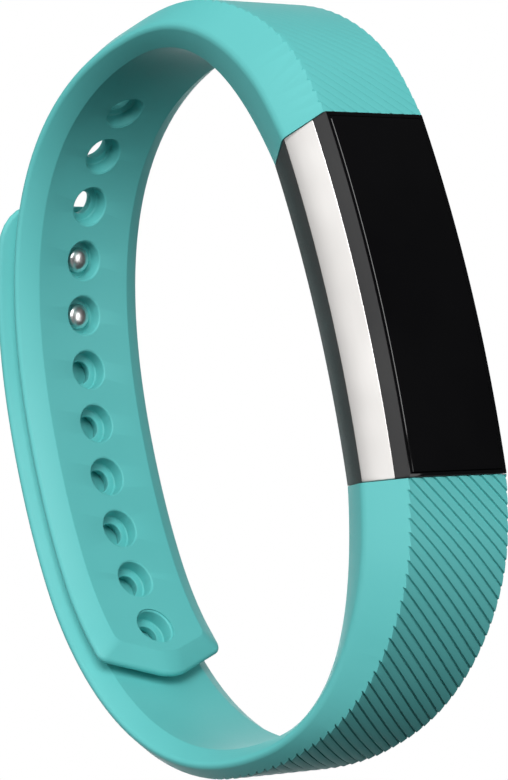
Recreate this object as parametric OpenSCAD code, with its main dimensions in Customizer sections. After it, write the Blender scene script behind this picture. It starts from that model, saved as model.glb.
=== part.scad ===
// Fitness tracker on a two-piece elastomer band, clasped round an empty wrist opening.
// Frame: +X points out of the display, +Y runs along the wrist, +Z runs up the tracker.
// The origin is the centre of the wrist opening. All sizes are in millimetres.

/* [Wrist opening] */
// Depth from the tracker's inner face to the back of the band
opening_depth = 43.9; // [38:0.1:56]
// Height from the top of the opening to its bottom
opening_height = 69.8; // [60:0.1:88]
// How far the crown of the loop lies in front of the opening's centre
crown_x = 2.9; // [0:0.1:6]
// Height of the tracker's middle above the opening's centre
tracker_rise = 0.75; // [-2:0.05:2]

/* [Tracker] */
// Length of the display face along the tracker
tracker_len = 36.1; // [30:0.1:46]
// Width across the widest edges of tracker and band
band_w = 15.5; // [13:0.1:20]
// Width of the inner face against the wrist
inner_w = 11.3; // [9:0.1:12.5]
// Width of the outer face
outer_w = 12.1; // [9:0.1:12.8]
// Thickness from the inner face to the display
tracker_t = 9.3; // [8.8:0.1:12]
// Height of the widest edges above the inner face
edge_u = 4.5; // [4.2:0.1:5.2]
// Height of the seam between steel case and display frame
seam_u = 7.8; // [7.4:0.1:8]
// Radius of the tracker's inner face along the arm
curve_r = 136; // [110:1:200]
// Lean of the tracker's end faces, in degrees
end_draft = 12.4; // [6:0.1:16]

/* [Case] */
// Floor of the back housing
floor_t = 1.0; // [0.8:0.05:1.2]
// Side wall of the back housing
housing_wall = 1.0; // [0.8:0.05:1.3]
// Side wall of the steel case
case_wall = 0.8; // [0.6:0.05:1.1]
// Half length of the hollow inside the case
cavity_half = 12.3; // [12.2:0.05:12.6]
// Rim of the display frame beside the lens
rim_w = 0.4; // [0.3:0.05:0.6]
// Ledge of the display frame under the lens
ledge_w = 1.5; // [1.2:0.05:1.8]
// Thickness of the lens
lens_t = 1.0; // [0.8:0.05:1.2]
// Thickness of the lens gasket
gasket_t = 0.15; // [0.1:0.01:0.2]
// Gap round the lens
lens_gap = 0.05; // [0.03:0.01:0.1]

/* [Inside] */
// Thickness of the display panel
panel_t = 0.9; // [0.6:0.05:1]
// Width of the display panel
panel_w = 8.2; // [6:0.1:8.6]
// Length of the display panel
panel_len = 21; // [16:0.1:22]
// Length of the main board
board_len = 23.6; // [20:0.1:24.2]
// Width of the main board
board_w = 11.2; // [9:0.1:11.6]
// Thickness of the main board
board_t = 0.8; // [0.6:0.05:0.9]
// Height of the main board's underside above the inner face
board_u = 4.6; // [4.5:0.05:4.9]
// Length of the battery
battery_len = 16.0; // [12:0.1:16.4]
// Width of the battery
battery_w = 7.6; // [6:0.1:8]
// Thickness of the battery
battery_t = 3.0; // [2:0.05:3.2]
// Outside diameter of the vibration motor
motor_d = 3.1; // [2.6:0.05:3.2]
// Length of the vibration motor's can
motor_len = 5.0; // [4:0.1:5.5]
// Diameter of the motor shaft
shaft_d = 0.8; // [0.6:0.02:1]
// Radial running clearance of the motor shaft
shaft_gap = 0.03; // [0.02:0.01:0.06]
// Length of the eccentric weight
weight_len = 2.0; // [1.4:0.1:2.2]
// Diameter of a charging pin
pin_d = 1.2; // [0.9:0.05:1.3]
// Distance between charging pins
pin_pitch = 2.3; // [1.8:0.1:2.6]

/* [Strap release] */
// Width of the tongue's head
tongue_w = 7.2; // [6:0.1:7.6]
// Width of the tongue's neck
neck_w = 4.8; // [4:0.1:5]
// Thickness of the tongue's head along the tracker
tongue_t = 1.25; // [1:0.05:1.3]
// Distance from the tracker's middle to the tongue's head
tongue_from = 13.45; // [13.4:0.01:13.6]
// Clearance round the tongue in its slot
slot_gap = 0.1; // [0.05:0.01:0.15]
// Width of the adapter inside the strap
adapter_w = 8.2; // [8:0.1:8.8]
// Depth of the adapter inside the strap
adapter_len = 6.2; // [6:0.1:7]
// Width of the release button
button_w = 5.0; // [4:0.1:5.4]
// Length of the release button along the strap
button_len = 3.0; // [2.4:0.1:3.2]
// Travel of the release button
button_travel = 0.8; // [0.5:0.05:0.9]
// Gap round the release button
button_gap = 0.1; // [0.05:0.01:0.15]

/* [Straps] */
// Thickness of the thin part of both straps
strap_t = 2.9; // [2.4:0.05:3.6]
// Distance from the tracker over which a strap keeps the tracker's thickness
full_len = 4; // [1:0.1:8]
// Distance from the tracker at which a strap has become thin
thin_from = 27.5; // [20:0.1:34]
// Share of the thickness that lies under the widest edge
edge_share = 0.485; // [0.4:0.005:0.6]
// Flat land along the widest edge
edge_land = 0.6; // [0.3:0.05:1]
// Angle at which the straps leave the tracker, in degrees from its long axis
leave_angle = 14.6; // [10:0.1:20]
// Gap between the lapped straps
lap_gap = 0.1; // [0.06:0.01:0.2]
// Length of the point at the holed strap's tip
tip_point = 3.2; // [2:0.1:5]

/* [Clasp] */
// Number of clasp holes
hole_count = 11; // [8:1:12]
// Distance between clasp holes
hole_pitch = 5.74; // [5.2:0.01:6.9]
// Distance from the tracker to the first clasp hole
first_hole = 37.5; // [34:0.1:40]
// Which hole the upper peg sits in
upper_peg_hole = 4; // [2:1:7]
// Diameter of the wide wrist-side part of a clasp hole
counterbore_d = 4.0; // [3.8:0.05:4.4]
// Depth of the wide part of a clasp hole
counterbore_depth = 1.6; // [1.5:0.05:1.8]
// Diameter of a peg's head
peg_head_d = 2.6; // [2.4:0.05:2.8]
// Thickness of a peg's head
peg_head_t = 0.9; // [0.7:0.05:1]
// Diameter of a peg's neck
peg_neck_d = 1.9; // [1.6:0.05:2.1]
// Radial clearance between a peg's head and the narrow part of a hole
peg_gap = 0.33; // [0.2:0.01:0.4]
// Distance from the last hole to the holed strap's tip
tip_margin = 6.0; // [5:0.1:8]
// Distance from the upper peg to the peg strap's end
peg_margin = 4.7; // [3.5:0.1:7]
// Distance from the pegs' middle down to the flex line of the peg strap
flex_from_pegs = 23.5; // [18:0.1:26]

/* [Hidden] */
$fn = 64;
STEEL = [0.83, 0.82, 0.80];
DARK = [0.22, 0.22, 0.23];
TEAL = [0.42, 0.80, 0.79];
BOARD_GREEN = [0.10, 0.35, 0.22];

// Tracker: its inner face touches the opening, and all its faces are arcs round one centre
face_x = opening_depth / 2;
band_hw = band_w / 2;
inner_hw = inner_w / 2;
outer_hw = outer_w / 2;
foot_half = tracker_len / 2 - tracker_t * tan(end_draft);
foot_angle = asin(foot_half / curve_r);
foot_x = face_x - curve_r * (1 - cos(foot_angle));
lens_u = tracker_t - lens_t;
seat_u = lens_u - gasket_t;
panel_u = lens_u - panel_t;
board_top_u = board_u + board_t;
sweep_angle = 20;
reach = 30;

// Half width of the tracker's section at height u above its inner face
function half_w(u) = u <= edge_u
    ? inner_hw + (band_hw - inner_hw) * u / edge_u
    : band_hw - (band_hw - outer_hw) * (u - edge_u) / (tracker_t - edge_u);

// ---- The loop: the line that the band's inner face follows, as seen along the wrist ----

function bezier(p, t) = pow(1 - t, 3) * p[0] + 3 * pow(1 - t, 2) * t * p[1]
    + 3 * (1 - t) * t * t * p[2] + pow(t, 3) * p[3];
function flip(p) = [p[0], -p[1]];
function unit(v) = v / norm(v);
function smooth(t) = let (c = max(0, min(1, t))) c * c * (3 - 2 * c);

// Reach of the curve's handles, as shares of the opening
half_h = opening_height / 2;
foot_handle = 0.43 * half_h;
crown_front_handle = 0.42 * (foot_x - crown_x);
crown_back_handle = 0.54 * (face_x + crown_x);
back_handle = 0.753 * half_h;
leave_dir = [-sin(leave_angle), cos(leave_angle)];
upper_foot = [foot_x, tracker_rise + foot_half];
lower_foot = [foot_x, tracker_rise - foot_half];
crown = [crown_x, half_h];
back = [-face_x, 0];
steps = 40;
front_curve = [upper_foot, upper_foot + foot_handle * leave_dir, crown + [crown_front_handle, 0], crown];
back_curve = [crown, crown - [crown_back_handle, 0], back + [0, back_handle], back];
low_front_curve = [
    lower_foot, lower_foot + foot_handle * flip(leave_dir),
    flip(crown) + [crown_front_handle, 0], flip(crown)
];
loop_points = concat(
    [for (i = [0:steps - 1]) bezier(front_curve, i / steps)],
    [for (i = [0:steps - 1]) bezier(back_curve, i / steps)],
    [for (i = [steps:-1:1]) flip(bezier(back_curve, i / steps))],
    [for (i = [steps:-1:0]) bezier(low_front_curve, i / steps)]
);
last = len(loop_points) - 1;
loop_s = [
    for (i = 0, s = 0; i <= last;
        s = s + (i < last ? norm(loop_points[i + 1] - loop_points[i]) : 0), i = i + 1) s
];
loop_len = loop_s[last];
loop_x = [for (i = [0:last]) [loop_s[i], loop_points[i][0]]];
loop_z = [for (i = [0:last]) [loop_s[i], loop_points[i][1]]];

// Point, direction and outward normal at distance s along the loop from the tracker's upper end
function on_loop(s) = s < 0 ? upper_foot + s * leave_dir
    : s > loop_len ? lower_foot - (s - loop_len) * flip(leave_dir)
    : [lookup(s, loop_x), lookup(s, loop_z)];
function along(s) = unit(on_loop(s + 0.5) - on_loop(s - 0.5));
function outward(s) = let (d = along(s)) [d[1], -d[0]];
function lifted(s, h) = on_loop(s) + h * outward(s);

// ---- Straps: sizes along the loop ----

peg_s = first_hole + (upper_peg_hole - 1) * hole_pitch;
clasp_s = peg_s + hole_pitch / 2;
peg_end_s = peg_s - peg_margin;
flex_s = clasp_s + flex_from_pegs;
last_hole_s = first_hole + (hole_count - 1) * hole_pitch;
tip_s = last_hole_s + tip_margin;
lap_full_s = tip_s - 13;
lap_none_s = tip_s + 25;
lap_h = strap_t + lap_gap;
outer_face_h = lap_h + strap_t;
ring_step = 2;
cut_gap = 0.03;

// Thickness at distance d from the tracker, and the share of the lap reached at s
function thick(d) = strap_t
    + (tracker_t - strap_t) * (1 - smooth((d - full_len) / (thin_from - full_len)));
function lap(s) = smooth((lap_none_s - s) / (lap_none_s - lap_full_s));
// Past the point where the lap is full, the holed strap yields inwards and the peg strap outwards
function holed_h(s) = s > lap_full_s ? -lap_h * (1 - lap(s)) : 0;
function peg_h(s) = lap_h * lap(s);
function rings(from, to) = let (n = ceil((to - from) / ring_step))
    [for (i = [0:n]) from + (to - from) * i / n];

// One ring of the strap's six-sided section, its widest edges cut to narrow lands
function section(s, h, t) = let (e = edge_share * t, q = edge_land / 2) [
    for (p = [
        [-inner_hw, 0], [inner_hw, 0], [band_hw, e - q], [band_hw, e + q],
        [outer_hw, t], [-outer_hw, t], [-band_hw, e + q], [-band_hw, e - q]
    ]) let (a = lifted(s, h + p[1])) [a[0], p[0], a[1]]
];
SIDES = 8;

// Closed skin through a row of rings
module loft(rows) {
    n = len(rows);
    polyhedron(
        points = [for (r = rows) each r],
        faces = concat(
            [[for (k = [0:SIDES - 1]) k]],
            [for (i = [0:n - 2], k = [0:SIDES - 1]) let (m = (k + 1) % SIDES)
                [i * SIDES + k, (i + 1) * SIDES + k, i * SIDES + m]],
            [for (i = [0:n - 2], k = [0:SIDES - 1]) let (m = (k + 1) % SIDES)
                [(i + 1) * SIDES + k, (i + 1) * SIDES + m, i * SIDES + m]],
            [[for (k = [SIDES - 1:-1:0]) (n - 1) * SIDES + k]]
        )
    );
}

// ---- Placing ----

// Local +Z outward from the loop at s, local +Y along the wrist, +X back along the loop
module at_loop(s) {
    p = on_loop(s);
    n = outward(s);
    translate([p[0], 0, p[1]]) rotate([0, atan2(n[0], n[1]), 0]) children();
}

// Local +X outward up the tracker's upper end face, local +Z away from the tracker
module at_end() {
    translate([foot_x, 0, tracker_rise + foot_half]) rotate([0, -end_draft, 0]) children();
}

// The same piece at the tracker's lower end
module lower_side() {
    translate([0, 0, tracker_rise]) mirror([0, 0, 1]) translate([0, 0, -tracker_rise]) children();
}

module both_sides() {
    children();
    lower_side() children();
}

// Box given by its limits, in the tracker's own heights and lengths
module block(u, y, z) {
    translate([face_x + u[0], y[0], tracker_rise + z[0]])
        cube([u[1] - u[0], y[1] - y[0], z[1] - z[0]]);
}

// Layer of the tracker's curved section between two heights, with its sides drawn in
module layer(u_from, u_to, inset) {
    levels = u_from < edge_u && edge_u < u_to ? [u_from, edge_u, u_to] : [u_from, u_to];
    n = len(levels);
    outline = concat(
        [for (u = levels) [curve_r + u, half_w(u) - inset]],
        [for (i = [n - 1:-1:0]) [curve_r + levels[i], inset - half_w(levels[i])]]
    );
    translate([face_x - curve_r, 0, tracker_rise]) rotate([90, 0, 0])
        rotate([0, 0, -sweep_angle / 2]) rotate_extrude(angle = sweep_angle, $fn = 360)
            polygon(outline);
}

// Everything between the tracker's two end faces, drawn in by a distance
module between_ends(inset) {
    low = [foot_x - reach, foot_half - reach * tan(end_draft) - inset];
    high = [foot_x + reach, foot_half + reach * tan(end_draft) - inset];
    translate([0, 0, tracker_rise]) rotate([90, 0, 0]) linear_extrude(reach, center = true)
        polygon([low, high, [high[0], -high[1]], [low[0], -low[1]]]);
}

module beyond_upper_end() {
    at_end() translate([-reach, -reach / 2, 0]) cube([2 * reach, reach, 2 * reach]);
}

// Hollow for the works, between two heights
module cavity(u_from, u_to, wall) {
    intersection() {
        layer(u_from, u_to, wall);
        block([-reach, reach], [-reach, reach], [-cavity_half, cavity_half]);
    }
}

// T-shaped slot for a strap's tongue, open on the wrist side
tongue_low_u = 1.4;
tongue_top_u = 5.1;
module tongue(gap, from_u) {
    depth = [from_u, tongue_top_u + gap];
    head = [tongue_from - gap, tongue_from + tongue_t + gap];
    block(depth, [-tongue_w / 2 - gap, tongue_w / 2 + gap], head);
    block(depth, [-neck_w / 2 - gap, neck_w / 2 + gap], [head[1] - gap, foot_half + 2]);
}

module slots() {
    both_sides() tongue(slot_gap, -reach);
}

// ---- Case ----

pin_z = 5.8;
motor_z = 8.8;
motor_u = 2.75;
motor_end_y = 1.1;

module pins(d) {
    for (i = [-1:1])
        translate([face_x - 1, i * pin_pitch, tracker_rise + pin_z]) rotate([0, 90, 0])
            cylinder(h = board_u + 1, d = d);
}

module at_motor() {
    translate([face_x + motor_u, 0, tracker_rise + motor_z]) rotate([-90, 0, 0]) children();
}

module back_housing() {
    post_z = board_len / 2 - 0.7;
    color(DARK) difference() {
        intersection() {
            layer(0, edge_u, 0);
            between_ends(0);
        }
        difference() {
            cavity(floor_t, edge_u + 1, housing_wall);
            for (y = [-1, 1], z = [-1, 1])
                block([0, board_u], [y * 4.9 - 0.8, y * 4.9 + 0.8], [z * post_z - 0.6, z * post_z + 0.6]);
            difference() {
                block([0, motor_u], [-3.4, 0.6], [motor_z - 1.4, motor_z + 1.4]);
                at_motor() cylinder(h = reach, d = motor_d, center = true);
            }
        }
        slots();
        pins(pin_d);
    }
}

module case_shell() {
    color(STEEL) difference() {
        intersection() {
            layer(edge_u, seam_u, 0);
            between_ends(0);
        }
        cavity(edge_u - 1, seam_u + 1, case_wall);
        slots();
    }
}

module lens_window() {
    intersection() {
        layer(edge_u, tracker_t + 1, rim_w + ledge_w);
        block([-reach, reach], [-reach, reach], [-cavity_half, cavity_half]);
    }
}

module display_frame() {
    color(DARK) difference() {
        intersection() {
            layer(seam_u, tracker_t, 0);
            between_ends(0);
        }
        intersection() {
            layer(seat_u, tracker_t + 1, rim_w);
            between_ends(rim_w);
        }
        lens_window();
    }
}

module display_lens() {
    color([0.02, 0.02, 0.02]) intersection() {
        layer(lens_u, tracker_t, rim_w + lens_gap);
        between_ends(rim_w + lens_gap);
    }
}

module lens_gasket() {
    color([0.1, 0.1, 0.1]) difference() {
        intersection() {
            layer(seat_u, lens_u, rim_w + lens_gap);
            between_ends(rim_w + lens_gap);
        }
        lens_window();
    }
}

// ---- Works ----

module display_panel() {
    color([0.05, 0.06, 0.1]) intersection() {
        layer(panel_u, lens_u, 0);
        block([0, reach], [-panel_w / 2, panel_w / 2], [-panel_len / 2, panel_len / 2]);
    }
}

module display_flex() {
    color([0.75, 0.5, 0.15]) difference() {
        block([board_top_u, tracker_t], [-2.5, 2.5], [panel_len / 2 - 0.8, panel_len / 2 - 0.6]);
        layer(panel_u, tracker_t + 1, -1);
    }
}

module main_board() {
    color(BOARD_GREEN)
        block([board_u, board_top_u], [-board_w / 2, board_w / 2], [-board_len / 2, board_len / 2]);
}

module board_chips() {
    color([0.12, 0.12, 0.13]) {
        block([board_top_u, board_top_u + 0.9], [-2.6, 2.6], [-8.6, -3.4]);
        block([board_top_u, board_top_u + 0.8], [-2, 2], [-1.6, 2]);
        block([board_top_u, board_top_u + 0.7], [-3.6, -1], [4, 6.4]);
        block([board_top_u, board_top_u + 0.7], [1, 3.6], [4, 6.4]);
    }
}

battery_from = -battery_len + 4.6;
battery_u = floor_t + 0.15;
module battery() {
    color([0.75, 0.76, 0.78])
        block([battery_u, battery_u + battery_t], [-battery_w / 2, battery_w / 2], [battery_from, 4.6]);
}

module battery_pad() {
    color([0.9, 0.9, 0.85]) intersection() {
        layer(floor_t, battery_u, housing_wall);
        block([-reach, reach], [1 - battery_w / 2, battery_w / 2 - 1], [battery_from + 1, 3.6]);
    }
}

module antenna() {
    color([0.8, 0.6, 0.3])
        block([board_top_u, board_top_u + 1.2], [board_w / 2 - 0.6, board_w / 2 - 0.3], [-9, 9]);
}

module motor_can() {
    color([0.7, 0.7, 0.72]) at_motor() difference() {
        translate([0, 0, motor_end_y - motor_len]) cylinder(h = motor_len, d = motor_d);
        translate([0, 0, motor_end_y - motor_len + 1])
            cylinder(h = motor_len, d = shaft_d + 2 * shaft_gap);
    }
}

module motor_shaft() {
    color(STEEL) at_motor() translate([0, 0, motor_end_y - motor_len + 1.1])
        cylinder(h = motor_len + weight_len - 0.6, d = shaft_d);
}

module eccentric_weight() {
    color([0.5, 0.5, 0.5]) at_motor() translate([0, 0, motor_end_y + 0.2]) difference() {
        cylinder(h = weight_len, d = motor_d - 0.3);
        translate([-0.6 - reach, -reach / 2, -1]) cube([reach, reach, weight_len + 2]);
        translate([0, 0, -1]) cylinder(h = weight_len + 2, d = shaft_d);
    }
}

module charging_pins() {
    color([0.85, 0.7, 0.35]) intersection() {
        pins(pin_d);
        layer(0, tracker_t, 0);
    }
}

// ---- Strap release ----

button_from = 1.6;
button_face = 0.1;
button_plate_t = 1.2;
button_under = button_face + button_plate_t;
pocket_floor = button_under + button_travel + 0.5;
stem_d = 1.2;
stem_end = 3.2;

module button_pocket() {
    at_end() {
        translate([-reach, -button_w / 2 - button_gap, button_from - button_gap])
            cube([reach + pocket_floor, button_w + 2 * button_gap, button_len + 2 * button_gap]);
        translate([0, 0, button_from + button_len / 2]) rotate([0, 90, 0])
            cylinder(h = stem_end + button_travel + 0.3, d = stem_d + 2 * button_gap);
    }
}

module adapter_body() {
    at_end() translate([0.8, -adapter_w / 2, 0]) cube([6.6, adapter_w, adapter_len]);
}

module upper_adapter() {
    color(DARK) difference() {
        union() {
            adapter_body();
            intersection() {
                tongue(0, tongue_low_u);
                block([0, reach], [-reach, reach], [0, foot_half + 1.5]);
            }
        }
        button_pocket();
    }
}

module lower_adapter() {
    lower_side() upper_adapter();
}

module upper_release_button() {
    color(STEEL) at_end() {
        translate([button_face, -button_w / 2, button_from])
            cube([button_plate_t, button_w, button_len]);
        translate([button_under - 0.1, 0, button_from + button_len / 2]) rotate([0, 90, 0])
            cylinder(h = stem_end - button_under + 0.1, d = stem_d);
    }
}

module lower_release_button() {
    lower_side() upper_release_button();
}

module upper_button_spring() {
    color(STEEL) at_end() translate([button_under, 0, button_from + button_len / 2])
        rotate([0, 90, 0]) difference() {
            cylinder(h = pocket_floor - button_under, d = 2.4);
            translate([0, 0, -1]) cylinder(h = pocket_floor, d = stem_d + 4 * button_gap);
        }
}

module lower_button_spring() {
    lower_side() upper_button_spring();
}

// ---- Straps ----

// Stepped holes: wide on the wrist side, narrow on the outer side
module clasp_holes() {
    for (i = [0:hole_count - 1])
        at_loop(first_hole + i * hole_pitch) {
            translate([0, 0, -1]) cylinder(h = counterbore_depth + 1, d = counterbore_d);
            cylinder(h = 2 * strap_t, d = peg_head_d + 2 * peg_gap);
        }
}

// What lies past the pointed end, seen square on to the strap
module past_tip() {
    corner = band_hw + 0.5;
    at_loop(tip_s - tip_point) translate([0, 0, -strap_t]) linear_extrude(4 * strap_t)
        polygon([
            [1, corner], [1, band_hw], [-0.3, band_hw - 0.8], [-tip_point, 0],
            [-0.3, 0.8 - band_hw], [1, -band_hw], [1, -corner],
            [-reach / 3, -corner], [-reach / 3, corner]
        ]);
}

module holed_strap() {
    color(TEAL) difference() {
        intersection() {
            loft([for (s = rings(-1, tip_s + 1)) section(s, holed_h(s), thick(s))]);
            union() {
                beyond_upper_end();
                block([-4 * reach, foot_x - face_x - 1.5], [-reach, reach], [-4 * reach, 4 * reach]);
            }
        }
        adapter_body();
        button_pocket();
        clasp_holes();
        past_tip();
    }
}

module peg_strap(from, to) {
    loft([for (s = rings(from, to)) section(s, peg_h(s), thick(loop_len - s))]);
}

module peg_strap_root() {
    color(TEAL) difference() {
        intersection() {
            peg_strap(flex_s + cut_gap, loop_len + 1);
            union() {
                lower_side() beyond_upper_end();
                block([-4 * reach, foot_x - face_x - 1.5], [-reach, reach], [-4 * reach, 4 * reach]);
            }
        }
        lower_side() adapter_body();
        lower_side() button_pocket();
    }
}

// Plate on the outer face that carries both pegs
plate_len = hole_pitch + 3.4;
plate_w = 5;
plate_t = 0.8;
module plate() {
    at_loop(clasp_s) translate([-plate_len / 2, -plate_w / 2, outer_face_h - plate_t])
        cube([plate_len, plate_w, plate_t]);
}

module pegs(neck_d) {
    head_low = counterbore_depth - 0.2 - peg_head_t;
    for (i = [0, 1])
        at_loop(peg_s + i * hole_pitch) {
            translate([0, 0, head_low]) rotate_extrude()
                polygon([
                    [0, 0], [0.28 * peg_head_d, 0], [0.42 * peg_head_d, 0.2 * peg_head_t],
                    [peg_head_d / 2, 0.6 * peg_head_t], [peg_head_d / 2, peg_head_t], [0, peg_head_t]
                ]);
            translate([0, 0, head_low + peg_head_t / 2])
                cylinder(h = outer_face_h - plate_t / 2 - head_low - peg_head_t / 2, d = neck_d);
        }
}

module peg_strap_tail() {
    color(TEAL) difference() {
        peg_strap(peg_end_s, flex_s);
        plate();
        pegs(peg_neck_d);
        at_loop(clasp_s) translate([-plate_len / 2, -plate_w / 2, outer_face_h - plate_t])
            cube([plate_len, plate_w, 3 * plate_t]);
    }
}

module clasp_plate() {
    color(STEEL) difference() {
        plate();
        pegs(peg_neck_d);
    }
}

module clasp_pegs() {
    color(STEEL) pegs(peg_neck_d);
}

back_housing();
case_shell();
display_frame();
display_lens();
lens_gasket();
display_panel();
display_flex();
main_board();
board_chips();
battery();
battery_pad();
antenna();
motor_can();
motor_shaft();
eccentric_weight();
charging_pins();
upper_adapter();
upper_release_button();
upper_button_spring();
lower_adapter();
lower_release_button();
lower_button_spring();
holed_strap();
peg_strap_root();
peg_strap_tail();
clasp_plate();
clasp_pegs();
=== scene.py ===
"""Fitness tracker on a two-piece elastomer band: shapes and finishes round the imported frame.

Shapes are modelled in millimetres on the bench and placed in metres at the end. In the frame +X
points out of the display, +Y runs along the wrist and +Z runs up the tracker; the origin is the
centre of the wrist opening. A strap is modelled flat, with X along it, Y across it and Z away from
the wrist, and is then wrapped round the loop that its inner face follows.
"""
import logging
import math
from bisect import bisect_right
from dataclasses import dataclass, field
from enum import Enum
from typing import Callable

import bpy
from mathutils import Matrix, Vector


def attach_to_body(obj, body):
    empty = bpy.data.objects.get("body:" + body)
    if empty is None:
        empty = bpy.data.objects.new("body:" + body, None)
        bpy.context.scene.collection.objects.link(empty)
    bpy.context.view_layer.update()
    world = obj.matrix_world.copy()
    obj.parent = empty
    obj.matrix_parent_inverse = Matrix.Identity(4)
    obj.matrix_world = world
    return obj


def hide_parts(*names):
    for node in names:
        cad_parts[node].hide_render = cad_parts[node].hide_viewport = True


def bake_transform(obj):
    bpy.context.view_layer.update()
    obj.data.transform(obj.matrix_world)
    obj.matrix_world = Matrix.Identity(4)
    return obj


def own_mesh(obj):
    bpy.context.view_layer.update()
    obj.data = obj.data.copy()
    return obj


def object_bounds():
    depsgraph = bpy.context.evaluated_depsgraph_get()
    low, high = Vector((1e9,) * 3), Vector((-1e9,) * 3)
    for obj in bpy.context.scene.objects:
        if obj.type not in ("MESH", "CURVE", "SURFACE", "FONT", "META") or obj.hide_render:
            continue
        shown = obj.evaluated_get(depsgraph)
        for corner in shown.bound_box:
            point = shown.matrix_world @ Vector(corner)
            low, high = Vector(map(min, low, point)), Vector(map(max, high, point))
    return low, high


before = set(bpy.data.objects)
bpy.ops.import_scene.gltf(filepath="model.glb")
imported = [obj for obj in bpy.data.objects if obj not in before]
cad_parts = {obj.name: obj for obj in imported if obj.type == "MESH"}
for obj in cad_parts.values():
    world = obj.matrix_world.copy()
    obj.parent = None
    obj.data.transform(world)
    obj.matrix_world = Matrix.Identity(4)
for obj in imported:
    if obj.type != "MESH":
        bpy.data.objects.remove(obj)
CAD_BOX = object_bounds()

MM = 0.001  # metres in a millimetre
MERGE = 0.001  # millimetres between points that are one
NEAR = 0.01  # millimetres within which a point is found at its place
GRAIN_SHARE = 0.6  # share of a finish's range of roughness that its grain takes up
LOG = logging.getLogger("band")
Vec3 = tuple[float, float, float]
Vec2 = tuple[float, float]
Colour = tuple[float, float, float, float]
Step = Callable[[], object]


def smooth(t: float) -> float:
    """Return the smooth step of t, held between 0 and 1."""
    c = max(0.0, min(1.0, t))
    return c * c * (3 - 2 * c)


# ---- The bench: one mesh worked on with Blender's own tools ----


class Element(Enum):
    """What a selection is made of, in the order of the mesh select modes."""

    VERTS = (True, False, False)
    EDGES = (False, True, False)
    FACES = (False, False, True)


def deselect() -> None:
    """Deselect every object."""
    bpy.ops.object.select_all(action="DESELECT")


def pick_all() -> None:
    """Pick the whole mesh, in edit mode."""
    bpy.ops.mesh.select_all(action="SELECT")


def face_out() -> None:
    """Point the picked faces outwards, in edit mode."""
    bpy.ops.mesh.normals_make_consistent(inside=False)


def extrude(way: Vec3) -> Step:
    """Return the edit step that extrudes what is picked."""
    return lambda: bpy.ops.mesh.extrude_region_move(TRANSFORM_OT_translate={"value": way})


def bevel(width: float, segments: int) -> Step:
    """Return the edit step that rounds the picked edges."""
    return lambda: bpy.ops.mesh.bevel(offset=width, segments=segments, affect="EDGES")


def inset(width: float, depth: float) -> Step:
    """Return the edit step that draws the picked faces in and pushes them out."""
    return lambda: bpy.ops.mesh.inset(thickness=width, depth=depth)


def spin(steps: int, angle: float, axis: Vec3) -> Step:
    """Return the edit step that sweeps what is picked round an axis through the origin."""
    return lambda: bpy.ops.mesh.spin(steps=steps, angle=angle, center=(0, 0, 0), axis=axis)


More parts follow.
